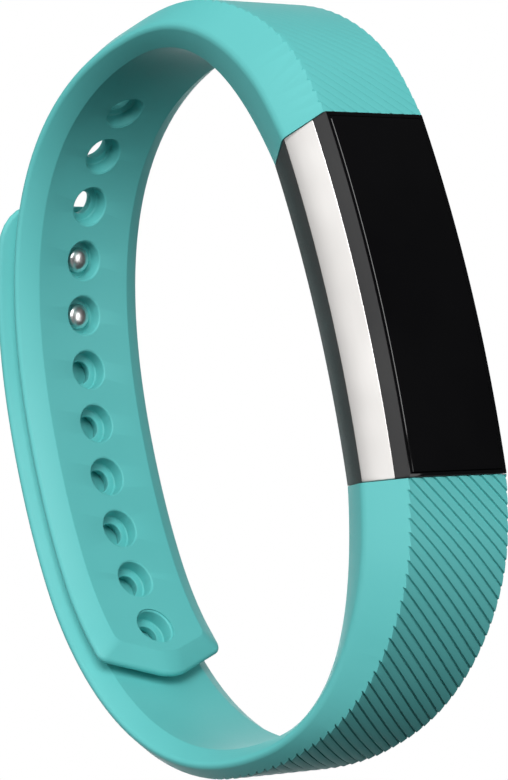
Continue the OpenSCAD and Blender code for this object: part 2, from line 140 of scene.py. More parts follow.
class Shape:
    """One mesh object on the bench, in millimetres."""

    def __init__(self, obj: bpy.types.Object) -> None:
        """Keep the object that the tools work on."""
        self.obj = obj

    @classmethod
    def take(cls, name: str) -> "Shape":
        """Take up the active object.

        Args:
            name: The name that it is given.

        Returns:
            Its shape.
        """
        obj = bpy.context.active_object
        obj.name = name
        obj.data.name = name
        return cls(obj)

    @classmethod
    def box(cls, name: str, low: Vec3, high: Vec3) -> "Shape":
        """Add a box.

        Args:
            name: The shape's name.
            low: Its corner with the lowest coordinates.
            high: Its corner with the highest.

        Returns:
            The box.
        """
        deselect()
        middle = [(a + b) / 2 for a, b in zip(low, high)]
        sides = [b - a for a, b in zip(low, high)]
        bpy.ops.mesh.primitive_cube_add(size=1, location=middle, scale=sides)
        shape = cls.take(name)
        shape.settle()
        return shape

    @classmethod
    def rod(cls, name: str, radius: float, low: float, high: float, sides: int = 48) -> "Shape":
        """Add a round rod along Z.

        Args:
            name: The shape's name.
            radius: Its radius.
            low: Height of its lower end.
            high: Height of its upper end.
            sides: Faces round it.

        Returns:
            The rod.
        """
        deselect()
        bpy.ops.mesh.primitive_cylinder_add(
            vertices=sides, radius=radius, depth=high - low, location=(0, 0, (low + high) / 2)
        )
        shape = cls.take(name)
        shape.settle()
        return shape

    @classmethod
    def outline(cls, name: str, points: list[Vec3]) -> "Shape":
        """Add one flat face with these corners.

        Args:
            name: The shape's name.
            points: The corners, in order.

        Returns:
            The shape, one face.
        """
        deselect()
        bpy.ops.mesh.primitive_circle_add(vertices=len(points), radius=1, fill_type="NGON")
        shape = cls.take(name)
        for corner, point in zip(shape.obj.data.vertices, points):
            corner.co = point
        return shape

    @classmethod
    def lathe(cls, name: str, profile: list[Vec2], steps: int = 40) -> "Shape":
        """Turn a profile once round Z.

        Args:
            name: The shape's name.
            profile: Radius and height of each corner, from the axis out and back to the axis.
            steps: Faces round the turn.

        Returns:
            The turned solid.
        """
        shape = cls.outline(name, [(radius, 0, height) for radius, height in profile])
        turn = spin(steps, 2 * math.pi, (0, 0, 1))
        shape.everything(lambda: bpy.ops.mesh.delete(type="ONLY_FACE"), pick_all, turn)
        shape.clean(MERGE)
        return shape.everything(
            lambda: bpy.ops.mesh.delete_loose(use_verts=True, use_edges=True, use_faces=False)
        )

    def work(self) -> None:
        """Make this the only selected object, and the active one."""
        deselect()
        self.obj.select_set(True)
        bpy.context.view_layer.objects.active = self.obj

    def settle(self) -> None:
        """Apply the object's place, turn and scale to its mesh."""
        self.work()
        bpy.ops.object.transform_apply(location=True, rotation=True, scale=True)

    def turn(self, turns: Vec3 = (0, 0, 0), move: Vec3 = (0, 0, 0)) -> "Shape":
        """Turn by these angles in radians, move, and apply both.

        Args:
            turns: Angles about X, Y and Z.
            move: The way moved after the turn.

        Returns:
            This shape.
        """
        self.obj.rotation_euler = turns
        self.obj.location = move
        self.settle()
        return self

    def pick(self, element: Element, test: Callable) -> int:
        """Select the vertices, edges or faces that pass a test, and nothing else.

        Args:
            element: What is selected.
            test: Takes a vertex's place, an edge's two ends, or a face's middle and normal.

        Returns:
            How many were selected.
        """
        mesh = self.obj.data
        self.work()
        bpy.context.tool_settings.mesh_select_mode = element.value
        for group in (mesh.vertices, mesh.edges, mesh.polygons):
            group.foreach_set("select", [False] * len(group))
        if element is Element.VERTS:
            chosen = [v for v in mesh.vertices if test(v.co)]
        elif element is Element.EDGES:
            ends = [v.co for v in mesh.vertices]
            chosen = [e for e in mesh.edges if test(ends[e.vertices[0]], ends[e.vertices[1]])]
        else:
            chosen = [f for f in mesh.polygons if test(f.center, f.normal)]
        for item in chosen:
            item.select = True
        return len(chosen)

    def pick_ridges(self, least: float, test: Callable) -> int:
        """Select the edges where the surface turns by an angle or more, and whose ends pass a test.

        Args:
            least: The angle in degrees.
            test: Takes an edge's two ends.

        Returns:
            How many were selected.
        """
        mesh = self.obj.data
        beside: dict[tuple, list[Vector]] = {}
        for face in mesh.polygons:
            for key in face.edge_keys:
                beside.setdefault(key, []).append(face.normal)
        sharp = {
            key for key, normals in beside.items()
            if len(normals) == 2 and normals[0].angle(normals[1], 0) > math.radians(least)
        }
        self.pick(Element.EDGES, lambda a, b: False)
        count = 0
        for edge in mesh.edges:
            a, b = (mesh.vertices[i].co for i in edge.vertices)
            if tuple(sorted(edge.vertices)) in sharp and test(a, b):
                edge.select = True
                count += 1
        return count

    def edit(self, *steps: Step) -> "Shape":
        """Work in edit mode on what is picked.

        Args:
            *steps: The steps, run in order.

        Returns:
            This shape.
        """
        self.work()
        bpy.ops.object.mode_set(mode="EDIT")
        for step in steps:
            step()
        bpy.ops.object.mode_set(mode="OBJECT")
        return self

    def everything(self, *steps: Step) -> "Shape":
        """Run these steps in edit mode on the whole mesh."""
        return self.edit(pick_all, *steps)

    def clean(self, reach: float = 0.0005) -> "Shape":
        """Merge doubles and point every face outwards."""
        return self.everything(lambda: bpy.ops.mesh.remove_doubles(threshold=reach), face_out)

    def trim(self, point: Vec3, away: Vec3) -> "Shape":
        """Cut off what lies past a plane and close the cut.

        Args:
            point: A point on the plane.
            away: The plane's direction, towards what is cut off.

        Returns:
            This shape.
        """
        return self.everything(lambda: bpy.ops.mesh.bisect(
            plane_co=point, plane_no=away, use_fill=True, clear_outer=True,
        ))

    def modify(self, kind: str, **settings: object) -> "Shape":
        """Add a modifier and apply it.

        Args:
            kind: The modifier's type.
            **settings: Its settings.

        Returns:
            This shape.
        """
        self.work()
        bpy.ops.object.modifier_add(type=kind)
        modifier = self.obj.modifiers[-1]
        for name, value in settings.items():
            setattr(modifier, name, value)
        bpy.ops.object.modifier_apply(modifier=modifier.name)
        return self

    def soften(self, width: float, segments: int = 3, least: float = 30) -> "Shape":
        """Round every sharp edge.

        Args:
            width: How wide the rounding is.
            segments: Its steps.
            least: Edges that turn by more than this, in degrees, are sharp.

        Returns:
            This shape.
        """
        return self.modify(
            "BEVEL", width=width, segments=segments, limit_method="ANGLE",
            angle_limit=math.radians(least), use_clamp_overlap=True,
        )

    def combine(self, tool: "Shape", operation: str = "DIFFERENCE") -> "Shape":
        """Cut a tool away from this shape, or join it on.

        Args:
            tool: The other solid, which is used up.
            operation: What the boolean does with it.

        Returns:
            This shape.
        """
        self.modify("BOOLEAN", object=tool.obj, operation=operation, solver="EXACT")
        bpy.data.objects.remove(tool.obj, do_unlink=True)
        return self

    def join(self, *others: "Shape") -> "Shape":
        """Take other shapes into this one's mesh.

        Args:
            *others: The shapes, each still a solid of its own.

        Returns:
            This shape.
        """
        self.work()
        for other in others:
            other.obj.select_set(True)
        bpy.ops.object.join()
        return self

    def wrap(self, line: bpy.types.Object) -> "Shape":
        """Wrap a flat shape round a curve, with its Z away from the wrist.

        Args:
            line: The curve, drawn in its own XY plane and stood up in the frame's XZ plane.

        Returns:
            This shape.
        """
        self.obj.rotation_euler = (math.pi, 0, 0)
        self.modify("CURVE", object=line, deform_axis="POS_X")
        self.settle()
        return self

    def place(self, name: str, angle: float = 24) -> bpy.types.Object:
        """Take the shape off the bench: bring it to metres, shade it, name it.

        Args:
            name: The piece's name.
            angle: Edges sharper than this, in degrees, stay crisp.

        Returns:
            The finished object, at the origin.
        """
        self.obj.scale = (MM, MM, MM)
        self.settle()
        bpy.ops.object.shade_smooth_by_angle(angle=math.radians(angle), keep_sharp_edges=False)
        self.obj.name = name
        self.obj.data.name = name
        return self.obj


# ---- Finishes ----


def fill(node: bpy.types.Node, values: dict[str | int, object]) -> bpy.types.Node:
    """Give a node's inputs their values.

    Args:
        node: The node.
        values: Each value by its input's name or number.

    Returns:
        The node.
    """
    for name, value in values.items():
        node.inputs[name].default_value = value
    return node


def found(tree: bpy.types.NodeTree, kind: str) -> bpy.types.Node:
    """Return the tree's first node of a type."""
    return next(node for node in tree.nodes if node.type == kind)


def new_group(name: str, inputs: dict[str, float], outputs: list[str]) -> bpy.types.ShaderNodeTree:
    """Start a shader group with number inputs and outputs.

    Args:
        name: The group's name.
        inputs: Each input's name and default.
        outputs: Each output's name.

    Returns:
        The empty group.
    """
    group = bpy.data.node_groups.new(name, "ShaderNodeTree")
    for label, default in inputs.items():
        socket = group.interface.new_socket(
            name=label, in_out="INPUT", socket_type="NodeSocketFloat"
        )
        socket.default_value = default
    for label in outputs:
        group.interface.new_socket(name=label, in_out="OUTPUT", socket_type="NodeSocketFloat")
    return group


class Wiring:
    """Short ways to add and link the nodes of one node tree."""

    def __init__(self, tree: bpy.types.NodeTree) -> None:
        """Keep the tree."""
        self.tree = tree

    def node(self, kind: str, **settings: object) -> bpy.types.Node:
        """Add a node.

        Args:
            kind: Its type.
            **settings: Its settings.

        Returns:
            The node.
        """
        node = self.tree.nodes.new(kind)
        for name, value in settings.items():
            setattr(node, name, value)
        return node

    def link(self, source: bpy.types.NodeSocket, target: bpy.types.NodeSocket) -> None:
        """Link an output to an input."""
        self.tree.links.new(source, target)

    def noise(self, where: bpy.types.NodeSocket, detail: float,
              rough: float = 0.5) -> bpy.types.Node:
        """Add a noise texture.

        Args:
            where: The coordinates that it is read at.
            detail: Its detail.
            rough: Its roughness.

        Returns:
            The node.
        """
        node = fill(self.node("ShaderNodeTexNoise"), {"Detail": detail, "Roughness": rough})
        self.link(where, node.inputs["Vector"])
        return node

    def between(self, value: bpy.types.NodeSocket, given: Vec2,
                out: Vec2 = (0, 1)) -> bpy.types.NodeSocket:
        """Map one range of values onto another.

        Args:
            value: The output that is mapped.
            given: Its range.
            out: The range that it is mapped onto.

        Returns:
            The result's output.
        """
        node = fill(self.node("ShaderNodeMapRange"), {
            "From Min": given[0], "From Max": given[1], "To Min": out[0], "To Max": out[1],
        })
        self.link(value, node.inputs["Value"])
        return node.outputs["Result"]

    def mix(self, share: bpy.types.NodeSocket, a: Colour, b: Colour) -> bpy.types.NodeSocket:
        """Mix two colours.

        Args:
            share: The output that says how much of the second there is.
            a: The first colour.
            b: The second colour.

        Returns:
            The colour's output.
        """
        node = fill(self.node("ShaderNodeMix", data_type="RGBA"), {"A": a, "B": b})
        self.link(share, node.inputs["Factor"])
        return node.outputs["Result"]


class Effects:
    """Shader groups that several finishes share, each built once."""

    @staticmethod
    def noise_group(name: str, label: str, default: float, detail: float, band: Vec2,
                    height: bool) -> bpy.types.ShaderNodeTree:
        """Return a group that puts out a noise over the surface.

        Args:
            name: The group's name.
            label: The name of its input, a count per metre.
            default: That input's default.
            detail: The noise's detail.
            band: The levels of the noise between which the mask rises from 0 to 1.
            height: Whether the noise is put out as a height too.

        Returns:
            The group.
        """
        if name in bpy.data.node_groups:
            return bpy.data.node_groups[name]
        group = new_group(name, {label: default}, ["Height", "Mask"] if height else ["Mask"])
        wire = Wiring(group)
        given = wire.node("NodeGroupInput")
        out = wire.node("NodeGroupOutput")
        noise = wire.noise(wire.node("ShaderNodeTexCoord").outputs["Object"], detail)
        wire.link(given.outputs[label], noise.inputs["Scale"])
        if height:
            wire.link(noise.outputs["Fac"], out.inputs["Height"])
        wire.link(wire.between(noise.outputs["Fac"], band), out.inputs["Mask"])
        return group

    @classmethod
    def grain(cls) -> bpy.types.ShaderNodeTree:
        """Return the fine surface grain, a height and a mask."""
        return cls.noise_group("surface_grain", "Grains", 3000.0, 4, (0.35, 0.65), True)

    @classmethod
    def handling(cls) -> bpy.types.ShaderNodeTree:
        """Return the faint patches that handling leaves, a mask with soft edges."""
        return cls.noise_group("handling_patches", "Patches", 90.0, 2, (0.38, 0.68), False)


@dataclass(frozen=True)
class Finish:
    """A surface finish: a colour and its slight variation, a gloss, a grain and a bump.

    Attributes:
        slot: The record's material slot.
        colour: The base colour.
        shade: The colour in the handled patches.
        rough: The lowest and highest roughness.
        metal: How metallic it is.
        grains: Grains per metre.
        patches: Handled patches per metre.
        bump: How deep the grain is, in metres.
        coat: The weight of a clear coat.
        specular: The specular level.
        sheen: The weight of a soft sheen.
        brush: Scale of the grain along each axis, which draws it out where it is small.
    """

    slot: str
    colour: Colour
    shade: Colour
    rough: Vec2 = (0.4, 0.5)
    metal: float = 0.0
    grains: float = 3000.0
    patches: float = 90.0
    bump: float = 0.00001
    coat: float = 0.0
    specular: float = 0.5
    sheen: float = 0.0
    brush: Vec3 = (1, 1, 1)

    def material(self) -> bpy.types.Material:
        """Return the finish's material, built once."""
        if self.slot in bpy.data.materials and bpy.data.materials[self.slot].get("dressed"):
            return bpy.data.materials[self.slot]
        material = bpy.data.materials.new(self.slot)
        material["dressed"] = True
        material.use_nodes = True
        material.diffuse_color = self.colour
        shader = fill(found(material.node_tree, "BSDF_PRINCIPLED"), {
            "Metallic": self.metal, "Coat Weight": self.coat, "Coat Roughness": 0.03,
            "Specular IOR Level": self.specular, "Sheen Weight": self.sheen, "Sheen Roughness": 0.4,
        })
        self.wire_surface(Wiring(material.node_tree), shader)
        return material

    def wire_surface(self, wire: Wiring, shader: bpy.types.Node) -> None:
        """Link the colour, the roughness and the bump.

        Args:
            wire: The material's wiring.
            shader: Its surface shader.
        """
        grain = wire.node("ShaderNodeGroup", node_tree=Effects.grain())
        fill(grain, {"Grains": self.grains})
        handled = wire.node("ShaderNodeGroup", node_tree=Effects.handling())
        patches = fill(handled, {"Patches": self.patches}).outputs["Mask"]
        wire.link(wire.mix(patches, self.colour, self.shade), shader.inputs["Base Color"])
        height, mask = grain.outputs["Height"], grain.outputs["Mask"]
        if self.brush != (1, 1, 1):
            height = mask = self.brushed(wire)
        low, high = self.rough
        gloss = wire.node("ShaderNodeMath", operation="MULTIPLY_ADD")
        fill(gloss, {1: (high - low) * GRAIN_SHARE})
        wire.link(mask, gloss.inputs[0])
        patched = low * GRAIN_SHARE + high * (1 - GRAIN_SHARE)
        wire.link(wire.between(patches, (0, 1), (low, patched)), gloss.inputs[2])
        wire.link(gloss.outputs["Value"], shader.inputs["Roughness"])
        bump = fill(wire.node("ShaderNodeBump"), {"Strength": 1.0, "Distance": self.bump})
        wire.link(height, bump.inputs["Height"])
        wire.link(bump.outputs["Normal"], shader.inputs["Normal"])

    def brushed(self, wire: Wiring) -> bpy.types.NodeSocket:
        """Add noise drawn out along the brushing.

        Args:
            wire: The material's wiring.

        Returns:
            The noise's value output.
        """
        mapping = fill(wire.node("ShaderNodeMapping"), {"Scale": self.brush})
        wire.link(wire.node("ShaderNodeTexCoord").outputs["Object"], mapping.inputs["Vector"])
        noise = fill(wire.noise(mapping.outputs["Vector"], 4, 0.6), {"Scale": self.grains})
        return noise.outputs["Fac"]

    def dress(self, obj: bpy.types.Object) -> bpy.types.Object:
        """Put the finish on an object, over all its slots.

        Args:
            obj: The object.

        Returns:
            The object.
        """
        material = self.material()
        if not obj.material_slots:
            obj.data.materials.append(material)
        for holder in obj.material_slots:
            holder.material = material
        return obj


class Finishes:
    """The finishes of this tracker and band."""

    elastomer = Finish(
        "teal_elastomer", (0.135, 0.575, 0.565, 1), (0.120, 0.550, 0.540, 1), (0.50, 0.62),
        grains=5200, patches=60, bump=0.0000035, specular=0.35, sheen=0.05,
    )
    steel = Finish(
        "satin_steel", (0.60, 0.585, 0.57, 1), (0.57, 0.555, 0.54, 1), (0.34, 0.46), metal=1.0,
        grains=900, bump=0.0000012, brush=(6, 6, 0.35),
    )
    housing = Finish(
        "dark_housing", (0.058, 0.057, 0.057, 1), (0.050, 0.050, 0.050, 1), (0.48, 0.62),
        grains=6000, bump=0.000003, specular=0.4,
    )
    rim = Finish(
        "dark_frame", (0.014, 0.014, 0.0145, 1), (0.011, 0.011, 0.012, 1), (0.36, 0.48),
        grains=6000, bump=0.0000015, specular=0.4,
    )
    lens = Finish(
        "black_lens", (0.004, 0.004, 0.0045, 1), (0.003, 0.003, 0.0035, 1), (0.04, 0.08),
        grains=400, bump=0.0000002, specular=0.30,
    )
    gasket = Finish("gasket", (0.02, 0.02, 0.02, 1), (0.015, 0.015, 0.015, 1), (0.6, 0.8))
    panel = Finish(
        "panel", (0.008, 0.010, 0.022, 1), (0.006, 0.007, 0.016, 1), (0.1, 0.2), coat=0.4,
    )
    flex = Finish(
        "flex_film", (0.42, 0.20, 0.03, 1), (0.34, 0.15, 0.02, 1), (0.3, 0.45), coat=0.3,
    )
    board = Finish(
        "circuit_board", (0.010, 0.085, 0.045, 1), (0.016, 0.130, 0.070, 1), (0.3, 0.45),
        patches=900, bump=0.000006, coat=0.3,
    )
    chips = Finish(
        "chip_epoxy", (0.016, 0.016, 0.018, 1), (0.022, 0.022, 0.024, 1), (0.45, 0.65), grains=9000,
    )
    battery = Finish(
        "battery_pouch", (0.55, 0.56, 0.58, 1), (0.48, 0.49, 0.51, 1), (0.28, 0.42), metal=0.8,
        grains=1400, patches=400, bump=0.00002,
    )
    pad = Finish(
        "foam_pad", (0.62, 0.60, 0.52, 1), (0.54, 0.52, 0.45, 1), (0.8, 0.95),
        grains=4200, bump=0.00005,
    )
    antenna = Finish(
        "antenna_metal", (0.72, 0.47, 0.22, 1), (0.62, 0.40, 0.19, 1), (0.2, 0.35), metal=1.0,
    )
    motor = Finish(
        "motor_steel", (0.58, 0.58, 0.60, 1), (0.50, 0.50, 0.52, 1), (0.2, 0.32), metal=1.0,
    )
    tungsten = Finish(
        "tungsten", (0.25, 0.25, 0.26, 1), (0.20, 0.20, 0.21, 1), (0.4, 0.55), metal=1.0,
        bump=0.00003,
    )
    gold = Finish(
        "gold_pin", (0.86, 0.62, 0.26, 1), (0.78, 0.55, 0.22, 1), (0.12, 0.25), metal=1.0,
        bump=0.000001,
    )
    adapter = Finish(
        "adapter_plastic", (0.040, 0.040, 0.042, 1), (0.034, 0.034, 0.036, 1), (0.42, 0.58),
        grains=5000,
    )
    button = Finish(
        "button_steel", (0.66, 0.65, 0.64, 1), (0.60, 0.59, 0.58, 1), (0.22, 0.34), metal=1.0,
        grains=1200, bump=0.000001, brush=(5, 0.4, 5),
    )
    spring = Finish(
        "spring_steel", (0.60, 0.60, 0.61, 1), (0.50, 0.50, 0.51, 1), (0.18, 0.3), metal=1.0,
    )
    peg = Finish(
        "peg_steel", (0.92, 0.91, 0.90, 1), (0.86, 0.85, 0.84, 1), (0.26, 0.38), metal=1.0,
        grains=2600, bump=0.0000008,
    )


def attach(piece: bpy.types.Object, finish: Finish, body: str, *nodes: str) -> bpy.types.Object:
    """Dress a piece and let it ride on a body in place of the design's own pieces.

    Args:
        piece: The piece.
        finish: Its finish, whose name is also its material slot.
        body: The body that it rides on.
        *nodes: The nodes that it stands in for.

    Returns:
        The piece.
    """
    finish.dress(piece)
    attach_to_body(piece, body)
    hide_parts(*nodes)
    return piece


# ---- The loop and the strap's section ----


@dataclass
class Loop:
    """The line that the band's inner face follows, as seen along the wrist.

    Attributes are lengths in millimetres and angles in degrees, as the design has them.
    """

    opening_depth: float = 43.9
    opening_height: float = 69.8
    crown_x: float = 2.9
    tracker_rise: float = 0.75
    tracker_len: float = 36.1
    tracker_t: float = 9.3
    curve_r: float = 136.0
    end_draft: float = 12.4
    leave_angle: float = 14.6
    shares: tuple = (0.43, 0.42, 0.54, 0.753)
    near: float = 0.25
    steps: int = 200
    places: list = field(default_factory=list)
    reaches: list = field(default_factory=list)

    def __post_init__(self) -> None:
        """Work out the derived places and the table of distances along the loop."""
        self.face_x = self.opening_depth / 2
        self.half_h = self.opening_height / 2
        self.draft = math.radians(self.end_draft)
        self.foot_half = self.tracker_len / 2 - self.tracker_t * math.tan(self.draft)
        foot_turn = math.asin(self.foot_half / self.curve_r)
        self.foot_x = self.face_x - self.curve_r * (1 - math.cos(foot_turn))
        reach = 0.0
        knots = self.knots()
        self.places = [knots[0][0]]
        self.reaches = [0.0]
        for a, b in zip(knots, knots[1:]):
            for i in range(1, self.steps + 1):
                place = self.bezier((a[0], a[2], b[1], b[0]), i / self.steps)
                reach += (place - self.places[-1]).length
                self.places.append(place)
                self.reaches.append(reach)
        self.length = reach

    @staticmethod
    def bezier(p: tuple, t: float) -> Vector:
        """Return a point of a cubic curve.

        Args:
            p: Its first end, the two handles and its last end.
            t: The share of the way along it.

        Returns:
            The point.
        """
        u = 1 - t
        return u ** 3 * p[0] + 3 * u * u * t * p[1] + 3 * u * t * t * p[2] + t ** 3 * p[3]

    def knots(self) -> list[tuple[Vector, Vector, Vector]]:
        """Return each knot of the loop with its handle before and its handle after."""
        foot, front, rear, down = self.shares
        lean = math.radians(self.leave_angle)
        leave = foot * self.half_h * Vector((-math.sin(lean), math.cos(lean)))
        upper = Vector((self.foot_x, self.tracker_rise + self.foot_half))
        lower = Vector((self.foot_x, self.tracker_rise - self.foot_half))
        crown = Vector((self.crown_x, self.half_h))
        back = Vector((-self.face_x, 0))
        ahead = Vector((front * (self.foot_x - self.crown_x), 0))
        behind = Vector((rear * (self.face_x + self.crown_x), 0))
        drop = Vector((0, down * self.half_h))
        flip = Matrix(((1, 0), (0, -1)))
        return [
            (upper, upper - leave, upper + leave),
            (crown, crown + ahead, crown - behind),
            (back, back + drop, back - drop),
            (flip @ crown, flip @ crown - behind, flip @ crown + ahead),
            (lower, lower + flip @ leave, lower - flip @ leave),
        ]

    def at(self, s: float) -> Vector:
        """Return a point of the loop, or of the straight line that goes on from its end.

        Args:
            s: Its distance from the tracker's upper end.

        Returns:
            The point.
        """
        knots = self.knots()
        if s <= 0:
            return knots[0][0] + (knots[0][2] - knots[0][0]).normalized() * s
        if s >= self.length:
            return knots[-1][0] + (knots[-1][0] - knots[-1][1]).normalized() * (s - self.length)
        i = bisect_right(self.reaches, s)
        share = (s - self.reaches[i - 1]) / (self.reaches[i] - self.reaches[i - 1])
        return self.places[i - 1].lerp(self.places[i], share)

    def outward(self, s: float) -> Vector:
        """Return the direction away from the wrist at distance s."""
        along = (self.at(s + self.near) - self.at(s - self.near)).normalized()
        return Vector((along.y, -along.x))

    def lifted(self, s: float, height: float) -> Vector:
        """Return the point at a height above the loop at distance s."""
        return self.at(s) + self.outward(s) * height

    def line(self) -> bpy.types.Object:
        """Return the loop as a curve with the design's own knots and handles."""
        curve = bpy.data.curves.new("loop_line", "CURVE")
        spline = curve.splines.new("BEZIER")
        knots = self.knots()
        spline.bezier_points.add(len(knots) - 1)
        for point, (place, before, after) in zip(spline.bezier_points, knots):
            point.handle_left_type = "FREE"
            point.handle_right_type = "FREE"
            point.co = place.to_3d()
            point.handle_left = before.to_3d()
            point.handle_right = after.to_3d()
        curve.resolution_u = 96
        return self.stand(curve)

    def traced(self, path: list[Vector]) -> bpy.types.Object:
        """Return a curve of straight lines.

        Args:
            path: Its points in the loop's plane.

        Returns:
            The curve.
        """
        curve = bpy.data.curves.new("outer_line", "CURVE")
        spline = curve.splines.new("POLY")
        spline.points.add(len(path) - 1)
        for point, place in zip(spline.points, path):
            point.co = (place.x, place.y, 0, 1)
        return self.stand(curve)

    @staticmethod
    def stand(curve: bpy.types.Curve) -> bpy.types.Object:
        """Stand a curve up in the frame's XZ plane.

        Args:
            curve: The curve.

        Returns:
            Its object.
        """
        curve.dimensions = "3D"
        curve.twist_mode = "Z_UP"
        curve.use_deform_bounds = False
        obj = bpy.data.objects.new(curve.name, curve)
        obj.rotation_euler = (math.pi / 2, 0, 0)
        bpy.context.collection.objects.link(obj)
        bpy.context.view_layer.update()
        return obj

    def posed(self, shape: Shape, s: float) -> Shape:
        """Stand a shape on the loop.

        Args:
            shape: The shape, with its Z away from the wrist.
            s: Distance along the loop.

        Returns:
            The placed shape.
        """
        place = self.at(s)
        out = self.outward(s)
        return shape.turn((0, math.atan2(out.x, out.y), 0), (place.x, 0, place.y))

    def at_end(self, shape: Shape, upper: bool) -> Shape:
        """Place a shape at one end of the tracker.

        Args:
            shape: Modelled with X up the tracker's end face and Z away from the tracker.
            upper: Whether it is the upper end.

        Returns:
            The placed shape.
        """
        shape.turn((0, -self.draft, 0), (self.foot_x, 0, self.foot_half))
        if not upper:
            shape.obj.scale = (1, 1, -1)
            shape.settle()
            shape.clean()
        return shape.turn(move=(0, 0, self.tracker_rise))


@dataclass
class Section:
    """The strap's six-sided section and how it swells towards the tracker, in millimetres."""

    band_hw: float = 7.75
    inner_hw: float = 5.65
    outer_hw: float = 6.05
    strap_t: float = 2.9
    tracker_t: float = 9.3
    full_len: float = 4.0
    thin_from: float = 27.5
    edge_share: float = 0.485
    edge_land: float = 0.6
    lap_gap: float = 0.1

    def thick(self, d: float) -> float:
        """Return the thickness at distance d from the tracker."""
        share = smooth((d - self.full_len) / (self.thin_from - self.full_len))
        return self.strap_t + (self.tracker_t - self.strap_t) * (1 - share)

    def levels(self, t: float) -> list[float]:
        """Return the heights of the inner face, both edges of the land and the outer face."""
        edge = self.edge_share * t
        return [0.0, edge - self.edge_land / 2, edge + self.edge_land / 2, t]

    def raised(self, height: float, t: float) -> float:
        """Return where a height of the thin strap comes in a thicker section.

        Args:
            height: The height in the thin strap.
            t: The section's thickness.

        Returns:
            The height in that section.
        """
        thin = self.levels(self.strap_t)
        full = self.levels(t)
        i = 0 if height <= thin[1] else 1 if height <= thin[2] else 2
        share = (height - thin[i]) / (thin[i + 1] - thin[i])
        return full[i] + (full[i + 1] - full[i]) * share


# ---- Ribs ----


class Side(Enum):
    """Which end of the tracker a strap leaves from."""

    UPPER = 1
    LOWER = -1


